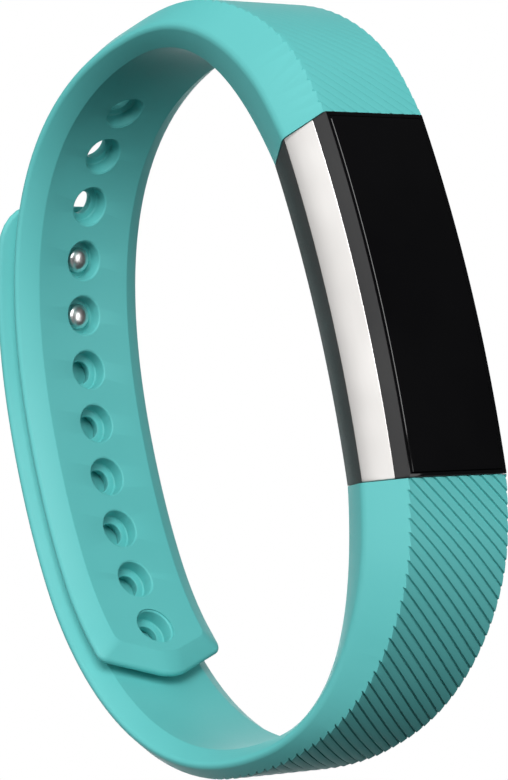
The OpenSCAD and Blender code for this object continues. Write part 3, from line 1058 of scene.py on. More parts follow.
@dataclass
class Ribs:
    """Shingled ribs that run slantwise over a strap's outer face, in millimetres.

    Attributes:
        pitch: Distance between ribs, square to them.
        slant: Angle between a rib and the wrist's direction, in degrees.
        depth: How deep the groove under each lip is.
        dip: How far each rib starts below its lip.
        groove: How wide the groove is.
        wall: How wide each of its walls is.
        soft: Rounding of the lips.
        skin: How far the ribbing is cut below the smooth face.
        fade: Length over which the ribs run out.
        run_in: How far the comb starts before the strap does.
        reach: How far the comb reaches across.
        spare: How much larger than the strap its sheet is.
        lift: How far the comb stands above the strap.
        clear: How far above the strap the ribs have run out.
        across: Strips of the sheet along each rib.
        stride: Distance between the points of the outer face's line.
    """

    pitch: float = 0.974
    slant: float = 42.0
    depth: float = 0.27
    dip: float = 0.15
    groove: float = 0.22
    wall: float = 0.05
    soft: float = 0.045
    skin: float = 0.015
    fade: float = 6.0
    run_in: float = 8.0
    reach: float = 8.4
    spare: float = 4.0
    lift: float = 3.0
    clear: float = 0.1
    across: int = 40
    stride: float = 0.5

    def sheet(self, side: Side, count: int, width: float) -> Shape:
        """Return a sheet of ribs along Y.

        Args:
            side: Which end of the tracker the strap leaves from, so which way the lips point.
            count: How many ribs there are.
            width: Their length.

        Returns:
            The sheet.
        """
        deselect()
        bpy.ops.mesh.primitive_grid_add(x_subdivisions=4, y_subdivisions=self.across, size=1)
        shape = Shape.take("rib_sheet")
        lip = self.pitch - self.groove
        profile = [
            (0, -self.dip), (lip, 0), (lip + self.wall, -self.depth),
            (self.pitch - self.wall, -self.depth), (self.pitch, -self.dip),
        ]
        if side is Side.LOWER:
            profile = [(self.pitch - x, z) for x, z in reversed(profile)]
        for v in shape.obj.data.vertices:
            x, z = profile[round((v.co.x + 0.5) * 4)]
            v.co = (x, v.co.y * width, z)
        shape.modify(
            "ARRAY", count=count, use_relative_offset=False, use_constant_offset=True,
            constant_offset_displace=(self.pitch, 0, 0), use_merge_vertices=True,
            merge_threshold=MERGE,
        )
        shape.pick_ridges(6, lambda a, b: abs(a.x - b.x) < MERGE and a.z > -0.01)
        return shape.edit(bevel(self.soft, 2))

    def comb(self, loop: Loop, section: Section, side: Side, start: float, end: float,
             height: Callable[[float], float]) -> Shape:
        """Return the tool that cuts the ribs: everything outside the ribbed face.

        Args:
            loop: The loop that the strap follows.
            section: The strap's section.
            side: Which end of the tracker the strap leaves from.
            start: Distance from the tracker to the first step at the strap's near edge.
            end: Distance from the tracker at which the ribs have run out.
            height: Gives the outer face's height at a distance from the tracker.

        Returns:
            The tool, wrapped round the strap's outer face.
        """
        slant = math.radians(self.slant)
        span = end + 2 * self.run_in
        width = span * math.sin(slant) + 2 * self.reach * math.cos(slant) + self.spare
        long = span * math.cos(slant) + 2 * self.reach * math.sin(slant) + self.spare
        count = math.ceil(long / self.pitch)
        shape = self.sheet(side, count, width)
        shape.turn((0, 0, -slant), (0, 0, -self.skin))
        middle = count * self.pitch / 2
        shape.turn(move=(-middle * math.cos(slant), middle * math.sin(slant), 0))
        shape.everything(extrude((0, 0, self.lift)))
        stride = self.pitch / math.cos(slant)
        path, far = self.path(loop, side, end, height)
        edge = section.outer_hw * math.tan(slant)
        phase = (far / 2 - self.run_in - side.value * start - edge) % stride
        centre = far / 2 + (phase if side is Side.UPPER else -phase)
        shape.turn(move=(centre, 0, 0))
        shape.clean(0.0001)
        shape.trim((self.stride, 0, 0), (-1, 0, 0)).trim((far - self.stride, 0, 0), (1, 0, 0))
        shape.trim((0, self.reach, 0), (0, 1, 0)).trim((0, -self.reach, 0), (0, -1, 0))
        for v in shape.obj.data.vertices:
            d = v.co.x - self.run_in if side is Side.UPPER else far - self.run_in - v.co.x
            v.co.z += (self.depth + self.clear) * smooth((d - end + self.fade) / self.fade)
        return shape.wrap(loop.traced(path))

    def path(self, loop: Loop, side: Side, end: float,
             height: Callable[[float], float]) -> tuple[list[Vector], float]:
        """Trace the outer face's centre line.

        Args:
            loop: The loop that the strap follows.
            side: Which end of the tracker the strap leaves from.
            end: Distance from the tracker at which the ribs have run out.
            height: Gives the outer face's height at a distance from the tracker.

        Returns:
            The line's points along the loop, and its length.
        """
        path = []
        for i in range(int((end + 2 * self.run_in) / self.stride) + 1):
            d = -self.run_in + i * self.stride
            s = d if side is Side.UPPER else loop.length - d
            path.append(loop.lifted(s, height(d)))
        if side is Side.LOWER:
            path.reverse()
        return path, sum((b - a).length for a, b in zip(path, path[1:]))


# ---- Straps ----


@dataclass
class Clasp:
    """Holes, pegs and plate, in millimetres."""

    hole_count: int = 11
    hole_pitch: float = 5.74
    first_hole: float = 37.5
    upper_peg_hole: int = 4
    counterbore_d: float = 4.0
    counterbore_depth: float = 1.6
    narrow_d: float = 2.4
    outlet_d: float = 3.2
    lip: float = 0.16
    peg_head_d: float = 2.6
    peg_head_t: float = 0.9
    peg_neck_d: float = 1.9
    tip_margin: float = 6.0
    tip_point: float = 3.2
    peg_margin: float = 4.7
    flex_from_pegs: float = 23.5
    plate_more: float = 3.4
    plate_w: float = 5.0
    plate_t: float = 0.8

    def __post_init__(self) -> None:
        """Work out the places along the loop."""
        self.peg_s = self.first_hole + (self.upper_peg_hole - 1) * self.hole_pitch
        self.clasp_s = self.peg_s + self.hole_pitch / 2
        self.end_s = self.peg_s - self.peg_margin
        self.flex_s = self.clasp_s + self.flex_from_pegs
        self.tip_s = self.first_hole + (self.hole_count - 1) * self.hole_pitch + self.tip_margin
        self.lap_full_s = self.tip_s - 13
        self.lap_none_s = self.tip_s + 25
        self.plate_len = self.hole_pitch + self.plate_more

    def lap(self, s: float) -> float:
        """Return the share of the lap that is reached at distance s."""
        return smooth((self.lap_none_s - s) / (self.lap_none_s - self.lap_full_s))


@dataclass
class Strap:
    """What both straps share: a flat blank that swells, is wrapped and gets its ribs.

    Attributes:
        loop: The loop that it follows.
        section: Its section.
        clasp: The clasp's sizes.
        ribs: Its ribs.
        stride: Length of one strip of the blank.
        lead: Length of the first and last strips, longer than the bevels are wide.
        soft_edge: Rounding of the widest edges.
        soft_inner: Rounding of the inner face's rim, as a share of that.
        soft_outer: Rounding of the outer face's rim, as a share of that.
        seam: Gap between strap and tracker.
        root_beyond: How far the blank starts past the tracker's end.
        root_box: Low and high corner of what the end face takes away, up to the seam.
    """

    loop: Loop
    section: Section
    clasp: Clasp
    ribs: Ribs
    stride: float = 1.1
    lead: float = 3.4
    soft_edge: float = 0.28
    soft_inner: float = 0.3
    soft_outer: float = 0.35
    seam: float = 0.05
    root_beyond: float = 5.0
    root_box: tuple[Vec3, Vec2] = ((-1.5, -9, -12), (14, 9))

    def blank(self, low: float, high: float, shape_end: Callable[[Shape], None]) -> Shape:
        """Build the flat strap at its thin section, bevelled all round.

        Args:
            low: Where the blank starts.
            high: Where it ends.
            shape_end: Shapes the blank's free end while it is one thin sheet.

        Returns:
            The blank.
        """
        sec = self.section
        base = sec.levels(sec.strap_t)
        deselect()
        plain = high - low - 2 * self.lead
        strips = math.ceil(plain / self.stride)
        bpy.ops.mesh.primitive_grid_add(x_subdivisions=strips, y_subdivisions=1, size=1)
        shape = Shape.take("strap_blank")
        shape.obj.scale = (plain, 2 * sec.band_hw, 1)
        shape.turn(move=((low + high) / 2, 0, base[1]))
        for way, limit in ((-1, low + self.lead), (1, high - self.lead)):
            shape.pick(Element.EDGES, lambda a, b: max(abs(a.x - limit), abs(b.x - limit)) < NEAR)
            shape.edit(extrude((way * self.lead, 0, 0)))
        shape_end(shape)
        shape.everything(extrude((0, 0, base[2] - base[1])), pick_all, face_out)
        shape.pick(Element.FACES, lambda c, n: n.z > 0.9)
        shape.edit(inset(sec.band_hw - sec.outer_hw, base[3] - base[2]))
        shape.pick(Element.FACES, lambda c, n: n.z < -0.9)
        return shape.edit(inset(sec.band_hw - sec.inner_hw, base[1]))

    @staticmethod
    def upright(a: Vector, b: Vector) -> bool:
        """Return whether an edge climbs from one level to the next."""
        return abs(a.z - b.z) > 0.05

    def mark(self, shape: Shape) -> None:
        """Mark the rims for rounding, each by its own share.

        Args:
            shape: The blank.
        """
        base = self.section.levels(self.section.strap_t)
        for level, share in zip(base, (self.soft_inner, 1.0, 1.0, self.soft_outer)):
            shape.pick_ridges(8, lambda a, b: max(abs(a.z - level), abs(b.z - level)) < NEAR)
            shape.edit(lambda: bpy.ops.transform.edge_bevelweight(value=share))

    def swell(self, shape: Shape, distance: Callable[[float], float],
              height: Callable[[float], float]) -> None:
        """Give the blank its true thickness and lift along its length.

        Args:
            shape: The blank.
            distance: Gives the distance from the tracker at a place along the loop.
            height: Gives the lift of the inner face there.
        """
        for v in shape.obj.data.vertices:
            t = self.section.thick(distance(v.co.x))
            v.co.z = self.section.raised(v.co.z, t) + height(v.co.x)

    def rounded(self, shape: Shape) -> Shape:
        """Round the marked rims and wrap the strap round the loop.

        Args:
            shape: The swollen blank.

        Returns:
            The strap.
        """
        shape.modify(
            "BEVEL", width=self.soft_edge, segments=3, limit_method="WEIGHT", use_clamp_overlap=True
        )
        return shape.wrap(self.loop.line())

    def root_cuts(self, shape: Shape, side: Side) -> None:
        """Trim the strap at the tracker's end face and cut the seats of adapter and button.

        Args:
            shape: The strap.
            side: Which end of the tracker it leaves from.
        """
        upper = side is Side.UPPER
        low, high = self.root_box
        end_face = Shape.box("end_face", low, (*high, self.seam))
        shape.combine(self.loop.at_end(end_face, upper))
        release = Release(self.loop)
        for seat in (release.adapter_seat, release.button_seat):
            shape.combine(self.loop.at_end(seat(), upper))


@dataclass
class HoledStrap(Strap):
    """The upper strap: ribbed near the tracker, with eleven stepped holes and a pointed end."""

    first_step: float = 2.95
    ribbed: float = 27.0
    corner_soft: float = 0.7
    point_soft: float = 1.6
    step_soft: float = 0.12
    neck_soft: float = 0.06
    neck_land: float = 0.4
    drill_more: float = 1.0

    def __post_init__(self) -> None:
        """Work out where the pointed end begins."""
        self.corner_s = self.clasp.tip_s - self.clasp.tip_point

    def point(self, shape: Shape) -> None:
        """Draw the sheet's end out to a shallow point.

        Args:
            shape: The blank while it is a sheet.
        """
        end = self.corner_s - NEAR
        shape.pick(Element.EDGES, lambda a, b: min(a.x, b.x) > end)
        shape.edit(lambda: bpy.ops.mesh.subdivide(number_cuts=1))
        shape.pick(Element.VERTS, lambda v: v.x > end and abs(v.y) < NEAR)
        out = (self.clasp.tip_point, 0, 0)
        shape.edit(lambda: bpy.ops.transform.translate(value=out))

    def round_end(self, shape: Shape) -> None:
        """Round the mitred corners of the pointed end.

        Args:
            shape: The blank.
        """
        end = self.corner_s
        shape.pick_ridges(
            6, lambda a, b: min(a.x, b.x) > end - 3 and abs(a.y) > 2 and self.upright(a, b)
        )
        shape.edit(bevel(self.corner_soft, 5))
        shape.pick_ridges(
            6, lambda a, b: min(a.x, b.x) > end - 1 and abs(a.y) < 0.5 and self.upright(a, b)
        )
        shape.edit(bevel(self.point_soft, 6))

    def height(self, s: float) -> float:
        """Return the inner face's lift at distance s: past the lap the strap yields inwards."""
        lap = self.section.strap_t + self.section.lap_gap
        return -lap * (1 - self.clasp.lap(s)) if s > self.clasp.lap_full_s else 0.0

    def hole_tool(self) -> Shape:
        """Build the stepped drill of one clasp hole.

        Returns:
            The drill, flared so that the mouth gets a soft lip.
        """
        c, soft, neck_soft = self.clasp, self.step_soft, self.neck_soft
        wide, narrow, outlet, lip = c.counterbore_d / 2, c.narrow_d / 2, c.outlet_d / 2, c.lip
        step, top = c.counterbore_depth, self.section.strap_t
        profile = [(0.0, -self.drill_more), (wide + lip, -self.drill_more)]
        for i in range(5):
            a = i * math.pi / 8
            profile.append((wide + lip * (1 - math.sin(a)), lip * (1 - math.cos(a)) - NEAR))
        profile += [(wide, step - soft), (wide - soft, step)]
        profile += [(narrow + neck_soft, step), (narrow, step + neck_soft)]
        profile += [(narrow, step + self.neck_land), (outlet, top + NEAR)]
        profile += [(outlet, top + self.drill_more), (0.0, top + self.drill_more)]
        return Shape.lathe("hole_tool", profile)

    def build(self) -> bpy.types.Object:
        """Build, dress and attach the strap.

        Returns:
            The finished piece.
        """
        shape = self.blank(-self.root_beyond, self.corner_s, self.point)
        self.round_end(shape)
        self.mark(shape)
        self.swell(shape, lambda s: s, self.height)
        self.rounded(shape)
        shape.combine(self.ribs.comb(
            self.loop, self.section, Side.UPPER, self.first_step, self.ribbed, self.section.thick
        ))
        drill, *others = (
            self.loop.posed(self.hole_tool(), self.clasp.first_hole + i * self.clasp.hole_pitch)
            for i in range(self.clasp.hole_count)
        )
        shape.combine(drill.join(*others))
        self.root_cuts(shape, Side.UPPER)
        piece = shape.place("holed_strap_finished")
        return attach(piece, Finishes.elastomer, "upper_strap", "holed_strap")


@dataclass
class PegStrap(Strap):
    """The lower strap: ribbed round the bottom, lapped over the other, the clasp at its end."""

    lead: float = 6.0
    first_step: float = 2.2
    ribbed: float = 50.0
    corner_r: float = 3.0
    bend_low: float = 0.5
    bend_high: float = 17.0
    seat_gap: float = 0.04

    def height(self, s: float) -> float:
        """Return the inner face's lift at distance s."""
        return (self.section.strap_t + self.section.lap_gap) * self.clasp.lap(s)

    def outer(self, d: float) -> float:
        """Return the outer face's height at distance d from the tracker."""
        return self.height(self.loop.length - d) + self.section.thick(d)

    def round_end(self, shape: Shape) -> None:
        """Round the mitred corners of the free end."""
        end = self.clasp.end_s + 3
        shape.pick_ridges(6, lambda a, b: max(a.x, b.x) < end and self.upright(a, b))
        shape.edit(bevel(self.corner_r, 6))

    def plate_seat(self) -> Shape:
        """Return the tool that sinks the clasp plate's seat."""
        parts = ClaspParts(self.loop, self.section, self.clasp)
        return parts.slab("plate_seat", self.seat_gap, 1.0)

    def build(self) -> bpy.types.Object:
        """Build and dress the strap.

        Returns:
            The finished piece.
        """
        far = self.loop.length + self.root_beyond
        shape = self.blank(self.clasp.end_s, far, lambda sheet: None)
        self.round_end(shape)
        self.mark(shape)
        self.swell(shape, lambda s: self.loop.length - s, self.height)
        self.rounded(shape)
        shape.combine(self.ribs.comb(
            self.loop, self.section, Side.LOWER, self.first_step, self.ribbed, self.outer
        ))
        shape.combine(self.plate_seat())
        self.root_cuts(shape, Side.LOWER)
        piece = shape.place("peg_strap_finished")
        Finishes.elastomer.dress(piece)
        flex, t = self.clasp.flex_s, self.section.strap_t
        hinge = self.loop.lifted(flex, self.height(flex) + t)
        middle = self.loop.lifted(flex, self.height(flex) + t / 2)
        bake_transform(piece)
        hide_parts("peg_strap_root", "peg_strap_tail")
        return piece


# ---- Clasp parts ----


@dataclass
class ClaspParts:
    """The steel plate on the outer face and its two pegs."""

    loop: Loop
    section: Section
    clasp: Clasp
    corner_r: float = 1.3
    soft: float = 0.14
    bends: int = 12
    head_sink: float = 0.2
    head_soft: float = 0.08
    neck_soft: float = 0.1
    crown: float = 0.66

    def top(self) -> float:
        """Return the height of the lapped strap's outer face."""
        return 2 * self.section.strap_t + self.section.lap_gap

    def slab(self, name: str, gap: float, proud: float) -> Shape:
        """Return a round-cornered slab wrapped over the clasp's place.

        Args:
            name: The slab's name.
            gap: How much larger it is than the plate, all round.
            proud: How far it stands above the strap.

        Returns:
            The slab.
        """
        c = self.clasp
        half = (c.plate_len / 2 + gap, c.plate_w / 2 + gap)
        low = self.top() - c.plate_t - gap
        shape = Shape.box(name, (-half[0], -half[1], low), (*half, self.top() + proud))
        shape.pick_ridges(30, lambda a, b: abs(a.z - b.z) > 0.1)
        shape.edit(bevel(self.corner_r, 6))
        for i in range(1, self.bends):
            cut = (half[0] * (2 * i / self.bends - 1), 0, 0)
            shape.everything(lambda: bpy.ops.mesh.bisect(plane_co=cut, plane_no=(1, 0, 0)))
        shape.turn(move=(c.clasp_s, 0, 0))
        if proud == 0:
            shape.soften(self.soft, 3, 40)
        return shape.wrap(self.loop.line())

    def plate(self) -> bpy.types.Object:
        """Build the plate."""
        piece = self.slab("plate", 0.0, 0.0).place("clasp_plate_finished")
        return attach(piece, Finishes.steel, "clasp_end", "clasp_plate")

    def peg(self) -> Shape:
        """Return one peg, a domed head on a neck, turned in one piece."""
        c = self.clasp
        r, neck = c.peg_head_d / 2, c.peg_neck_d / 2
        high = c.counterbore_depth - self.head_sink
        low, foot = high - c.peg_head_t, self.top() - c.plate_t
        profile = [(0.0, low)]
        for i in range(1, 9):
            a = math.radians(i * 90 / 8)
            crown = self.crown * c.peg_head_t * (1 - math.cos(a))
            profile.append((r * math.sin(a), low + crown))
        profile += [(r, high - self.head_soft), (r - self.head_soft, high)]
        profile += [(neck + self.neck_soft, high), (neck, high + self.neck_soft)]
        profile += [(neck, foot), (0.0, foot)]
        return Shape.lathe("peg", profile)

    def pegs(self) -> bpy.types.Object:
        """Build both pegs."""
        c = self.clasp
        first, second = (self.loop.posed(self.peg(), c.peg_s + i * c.hole_pitch) for i in (0, 1))
        piece = first.join(second).place("clasp_pegs_finished", 40)
        return attach(piece, Finishes.peg, "clasp_end", "clasp_pegs")


# ---- Strap release ----


@dataclass
class Release:
    """The adapter's seat, the release button and its spring, in millimetres from a tracker end."""

    loop: Loop
    adapter_w: float = 8.2
    adapter_len: float = 6.2
    adapter_u: Vec2 = (0.8, 7.4)
    button_w: float = 5.0
    button_len: float = 3.0
    button_t: float = 1.2
    button_from: float = 1.6
    button_face: float = 0.1
    button_gap: float = 0.1
    travel: float = 0.8
    spare: float = 0.5
    stem_d: float = 1.2
    stem_end: float = 3.2
    wire_d: float = 0.22
    coil_d: float = 2.1
    coil_turns: int = 4
    coil_steps: int = 28
    clear: float = 0.02
    seat_soft: float = 0.5
    button_corner: float = 0.45
    button_soft: float = 0.08
    grip_r: float = 0.16
    grip_half: float = 1.7
    grip_pitch: float = 0.7
    grip_lift: float = 0.06

    def __post_init__(self) -> None:
        """Work out the middle of the button, from the tracker's end face."""
        self.button_mid = self.button_from + self.button_len / 2

    def adapter_seat(self) -> Shape:
        """Return the tool that clears the adapter inside the strap."""
        (low, high), clear = self.adapter_u, self.clear
        half = self.adapter_w / 2 + clear
        far = (high + clear, half, self.adapter_len + clear)
        return Shape.box("adapter_seat", (low - clear, -half, -2), far)

    def block(self, name: str, low: float, high: float, gap: float, corner: float) -> Shape:
        """Return the button's block, its four long edges rounded.

        Args:
            name: The shape's name.
            low: Height of its lower end up the tracker's end face.
            high: Height of its upper end.
            gap: How much larger than the button it is, all round.
            corner: Rounding of its long edges.

        Returns:
            The block.
        """
        half = self.button_w / 2 + gap
        near, far = self.button_from - gap, self.button_from + self.button_len + gap
        shape = Shape.box(name, (low, -half, near), (high, half, far))
        shape.pick_ridges(30, lambda a, b: abs(a.x - b.x) > 0.5)
        return shape.edit(bevel(corner, 4))

    def button_seat(self) -> Shape:
        """Return the tool that opens the button's pocket in the wrist side of the strap."""
        high = self.adapter_u[0] + 0.3
        return self.block("button_seat", -3, high, self.button_gap, self.seat_soft)

    def button(self, side: Side) -> bpy.types.Object:
        """Build one release button with its stem.

        Args:
            side: Which end of the tracker it is at.

        Returns:
            The finished piece.
        """
        word = side.name.lower()
        under = self.button_face + self.button_t
        shape = self.block("button", self.button_face, under, 0.0, self.button_corner)
        self.grips(shape)
        shape.soften(self.button_soft, 2, 40)
        stem = Shape.rod("stem", self.stem_d / 2, under - 0.1, self.stem_end, 32)
        stem.turn((0, math.pi / 2, 0), (0, 0, self.button_mid))
        shape.combine(stem, "UNION")
        self.loop.at_end(shape, side is Side.UPPER)
        piece = shape.place(word + "_button_finished")
        return attach(piece, Finishes.button, word + "_button", word + "_release_button")

    def grips(self, shape: Shape) -> None:
        """Cut three finger grooves across the button's face.

        Args:
            shape: The button.
        """
        for i in (-1, 0, 1):
            groove = Shape.rod("groove", self.grip_r, -self.grip_half, self.grip_half, 16)
            spot = (self.button_face - self.grip_lift, 0, self.button_mid + i * self.grip_pitch)
            shape.combine(groove.turn((math.pi / 2, 0, 0), spot))

    def spring(self, side: Side) -> bpy.types.Object:
        """Build the coil spring under one button.

        Args:
            side: Which end of the tracker it is at.

        Returns:
            The finished piece.
        """
        word = side.name.lower()
        low = self.button_face + self.button_t
        length = self.travel + self.spare
        wire_r = self.wire_d / 2
        steps = self.coil_steps * self.coil_turns
        deselect()
        bpy.ops.mesh.primitive_circle_add(
            vertices=10, radius=wire_r, location=(self.coil_d / 2 - wire_r, 0, wire_r),
            rotation=(math.pi / 2, 0, 0),
        )
        shape = Shape.take("coil")
        shape.settle()
        shape.modify(
            "SCREW", angle=2 * math.pi * self.coil_turns, screw_offset=length - self.wire_d,
            steps=steps, render_steps=steps, use_smooth_shade=True,
        )
        shape.edit(
            lambda: bpy.ops.mesh.select_all(action="DESELECT"),
            lambda: bpy.ops.mesh.select_mode(type="EDGE"),
            lambda: bpy.ops.mesh.select_non_manifold(),
            lambda: bpy.ops.mesh.fill_holes(sides=0),
        )
        shape.clean(MERGE)
        shape.turn((0, math.pi / 2, 0), (low, 0, self.button_mid))
        self.loop.at_end(shape, side is Side.UPPER)
        piece = shape.place(word + "_spring_finished", 60)
        attach(piece, Finishes.spring, word + "_strap", word + "_button_spring")
        self.attach_spring(piece, side, low + length)
        return piece

    def attach_spring(self, piece: bpy.types.Object, side: Side, foot: float) -> None:
        """Give a spring its own mesh; where its foot stands is worked out but not used.

        Args:
            piece: The spring.
            side: Which end of the tracker it is at.
            foot: Height of its foot up the tracker's end face.
        """
        loop = self.loop
        up = Vector((math.cos(loop.draft), 0, math.sin(loop.draft)))
        away = Vector((-math.sin(loop.draft), 0, math.cos(loop.draft)))
        spot = up * foot + away * self.button_mid
        spot += Vector((loop.foot_x, 0, loop.foot_half))
        spot.z = loop.tracker_rise + spot.z * side.value
        up.z *= side.value
        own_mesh(piece)


# ---- Tracker ----


@dataclass
class Tracker:
    """Housing, steel case, display frame and lens: layers of one curved, six-sided body.

    Every layer is part of a ring round one axis, as the design has it. Sizes are in millimetres.
    """

    loop: Loop
    section: Section
    edge_u: float = 4.5
    seam_u: float = 7.8
    floor_t: float = 1.0
    housing_wall: float = 1.0
    case_wall: float = 0.8
    cavity_half: float = 12.3
    rim_w: float = 0.4
    ledge_w: float = 1.5
    lens_t: float = 1.0
    gasket_t: float = 0.15
    lens_gap: float = 0.05
    sweep: float = 17.0
    steps: int = 68
    pin_d: float = 1.2
    pin_pitch: float = 2.3
    pin_z: float = 5.8
    tongue_w: float = 7.2
    neck_w: float = 4.8
    tongue_t: float = 1.25
    tongue_from: float = 13.45
    tongue_top_u: float = 5.1
    slot_gap: float = 0.1
    soft_corner: float = 0.12
    soft_case: float = 0.08
    soft_frame: float = 0.07
    soft_lens: float = 0.13
    face_normal: float = 0.985

    def half_w(self, u: float) -> float:
        """Return the half width of the body.

        Args:
            u: Height above the inner face.

        Returns:
            The half width there.
        """
        sec = self.section
        if u <= self.edge_u:
            return sec.inner_hw + (sec.band_hw - sec.inner_hw) * u / self.edge_u
        share = (u - self.edge_u) / (sec.tracker_t - self.edge_u)
        return sec.band_hw - (sec.band_hw - sec.outer_hw) * share

    def layer(self, name: str, low: float, high: float, inset: float) -> Shape:
        """Build a layer of the body between two heights, its sides drawn in.

        Args:
            name: The layer's name.
            low: Its lower height above the inner face.
            high: Its upper height.
            inset: How far its sides are drawn in.

        Returns:
            The layer, longer than the tracker.
        """
        levels = [low, self.edge_u, high] if low < self.edge_u < high else [low, high]
        near = [(self.loop.curve_r + u, self.half_w(u) - inset, 0) for u in levels]
        far = [(r, -w, 0) for r, w, _ in reversed(near)]
        shape = Shape.outline(name, near + far)
        half = math.radians(self.sweep / 2)
        shape.turn((0, half, 0))
        shape.everything(spin(self.steps, 2 * half, (0, 1, 0)))
        shape.clean(MERGE)
        return shape.turn(move=(self.loop.face_x - self.loop.curve_r, 0, self.loop.tracker_rise))

    def ends(self, shape: Shape, inset: float) -> Shape:
        """Trim a layer at the tracker's slanted ends.

        Args:
            shape: The layer.
            inset: How far the ends are drawn in.

        Returns:
            The layer.
        """
        loop = self.loop
        for side in Side:
            foot = (loop.foot_x, 0, loop.tracker_rise + side.value * (loop.foot_half - inset))
            shape.trim(foot, (-math.sin(loop.draft), 0, side.value * math.cos(loop.draft)))
        return shape

    def flat_ends(self, shape: Shape) -> Shape:
        """Trim a layer to the length of the hollow.

        Args:
            shape: The layer.

        Returns:
            The layer.
        """
        for side in Side:
            end = self.loop.tracker_rise + side.value * self.cavity_half
            shape.trim((0, 0, end), (0, 0, side.value))
        return shape

    def slot_tool(self, side: Side) -> Shape:
        """Return the T-shaped tool that opens one tongue slot.

        Args:
            side: Which end of the tracker the slot is at.

        Returns:
            The tool.
        """
        loop, gap = self.loop, self.slot_gap
        top = loop.face_x + self.tongue_top_u + gap
        low, high = self.tongue_from - gap, self.tongue_from + self.tongue_t + gap
        head_half, neck_half = self.tongue_w / 2 + gap, self.neck_w / 2 + gap
        tool = Shape.box("slot_head", (0, -head_half, low), (top, head_half, high))
        far = (top + MERGE, neck_half, loop.foot_half + 3)
        neck = Shape.box("slot_neck", (-1, -neck_half, high - gap), far)
        tool.combine(neck, "UNION")
        if side is Side.LOWER:
            tool.turn((math.pi, 0, 0))
        return tool.turn(move=(0, 0, loop.tracker_rise))

    def open_slots(self, shape: Shape) -> Shape:
        """Cut both tongue slots."""
        for side in Side:
            shape.combine(self.slot_tool(side))
        return shape

    def finish(self, shape: Shape, name: str, node: str, finish: Finish) -> bpy.types.Object:
        """Place, dress and attach one layer.

        Args:
            shape: The layer.
            name: The piece's name.
            node: The node that it stands in for.
            finish: Its finish.

        Returns:
            The finished piece.
        """
        return attach(shape.place(name, 20), finish, "tracker", node)

    def housing(self) -> bpy.types.Object:
        """Build the housing against the wrist: rounded rims, hollow, pin holes."""
        shape = self.ends(self.layer("housing", 0, self.edge_u, 0), 0)
        shape.soften(self.soft_corner, 3, 15)
        hollow = self.layer("hollow", self.floor_t, self.edge_u + 1, self.housing_wall)
        shape.combine(self.flat_ends(hollow))
        self.open_slots(shape)
        for i in (-1, 0, 1):
            drill = Shape.rod("drill", self.pin_d / 2 + 0.04, -2, self.edge_u, 32)
            spot = (self.loop.face_x, i * self.pin_pitch, self.loop.tracker_rise + self.pin_z)
            shape.combine(drill.turn((0, math.pi / 2, 0), spot))
        return self.finish(shape, "housing_finished", "back_housing", Finishes.housing)

    def case(self) -> bpy.types.Object:
        """Build the steel case round the middle."""
        shape = self.ends(self.layer("case", self.edge_u, self.seam_u, 0), 0)
        shape.soften(self.soft_case, 3, 15)
        hollow = self.layer("hollow", self.edge_u - 1, self.seam_u + 1, self.case_wall)
        shape.combine(self.flat_ends(hollow))
        self.open_slots(shape)
        return self.finish(shape, "case_finished", "case_shell", Finishes.steel)

    def frame_piece(self) -> bpy.types.Object:
        """Build the dark frame round the lens, its narrow face as black as the lens."""
        top = self.section.tracker_t
        seat_u = top - self.lens_t - self.gasket_t
        shape = self.ends(self.layer("display_rim", self.seam_u, top, 0), 0)
        shape.soften(self.soft_frame, 2, 15)
        shape.combine(self.ends(self.layer("lens_seat", seat_u, top + 1, self.rim_w), self.rim_w))
        window = self.layer("window", self.edge_u + 0.1, top + 1, self.rim_w + self.ledge_w)
        shape.combine(self.flat_ends(window))
        piece = self.finish(shape, "display_frame_finished", "display_frame", Finishes.rim)
        piece.data.materials.append(Finishes.lens.material())
        for face in piece.data.polygons:
            face.material_index = int(face.normal.x > self.face_normal)
        return piece

    def lens(self) -> bpy.types.Object:
        """Build the lens with its ground edge."""
        top = self.section.tracker_t
        inset = self.rim_w + self.lens_gap
        shape = self.ends(self.layer("lens", top - self.lens_t, top, inset), inset)
        shape.soften(self.soft_lens, 3, 15)
        return self.finish(shape, "lens_finished", "display_lens", Finishes.lens)

    def build(self) -> list[bpy.types.Object]:
        """Build every layer."""
        return [self.housing(), self.case(), self.frame_piece(), self.lens()]


class Works:
    """The pieces inside and the adapters, which keep the design's own shapes."""

    finishes = {
        "lens_gasket": Finishes.gasket, "display_panel": Finishes.panel,
        "display_flex": Finishes.flex, "main_board": Finishes.board,
        "board_chips": Finishes.chips, "battery": Finishes.battery,
        "battery_pad": Finishes.pad, "antenna": Finishes.antenna,
        "motor_can": Finishes.motor, "motor_shaft": Finishes.motor,
        "eccentric_weight": Finishes.tungsten, "charging_pins": Finishes.gold,
        "upper_adapter": Finishes.adapter, "lower_adapter": Finishes.adapter,
    }

    def dress(self) -> None:
        """Dress every such node."""
        for node, finish in self.finishes.items():
            finish.dress(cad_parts[node])
            LOG.info("dressed %s", node)


# ---- Studio ----


def towards(azimuth: float, elevation: float) -> Vector:
    """Return the direction from the origin to a place round the object.

    Args:
        azimuth: Its angle round the object, in radians.
        elevation: Its angle above the floor, in radians.

    Returns:
        The direction, of length one.
    """
    flat = math.cos(elevation)
    return Vector((math.sin(azimuth) * flat, -math.cos(azimuth) * flat, math.sin(elevation)))


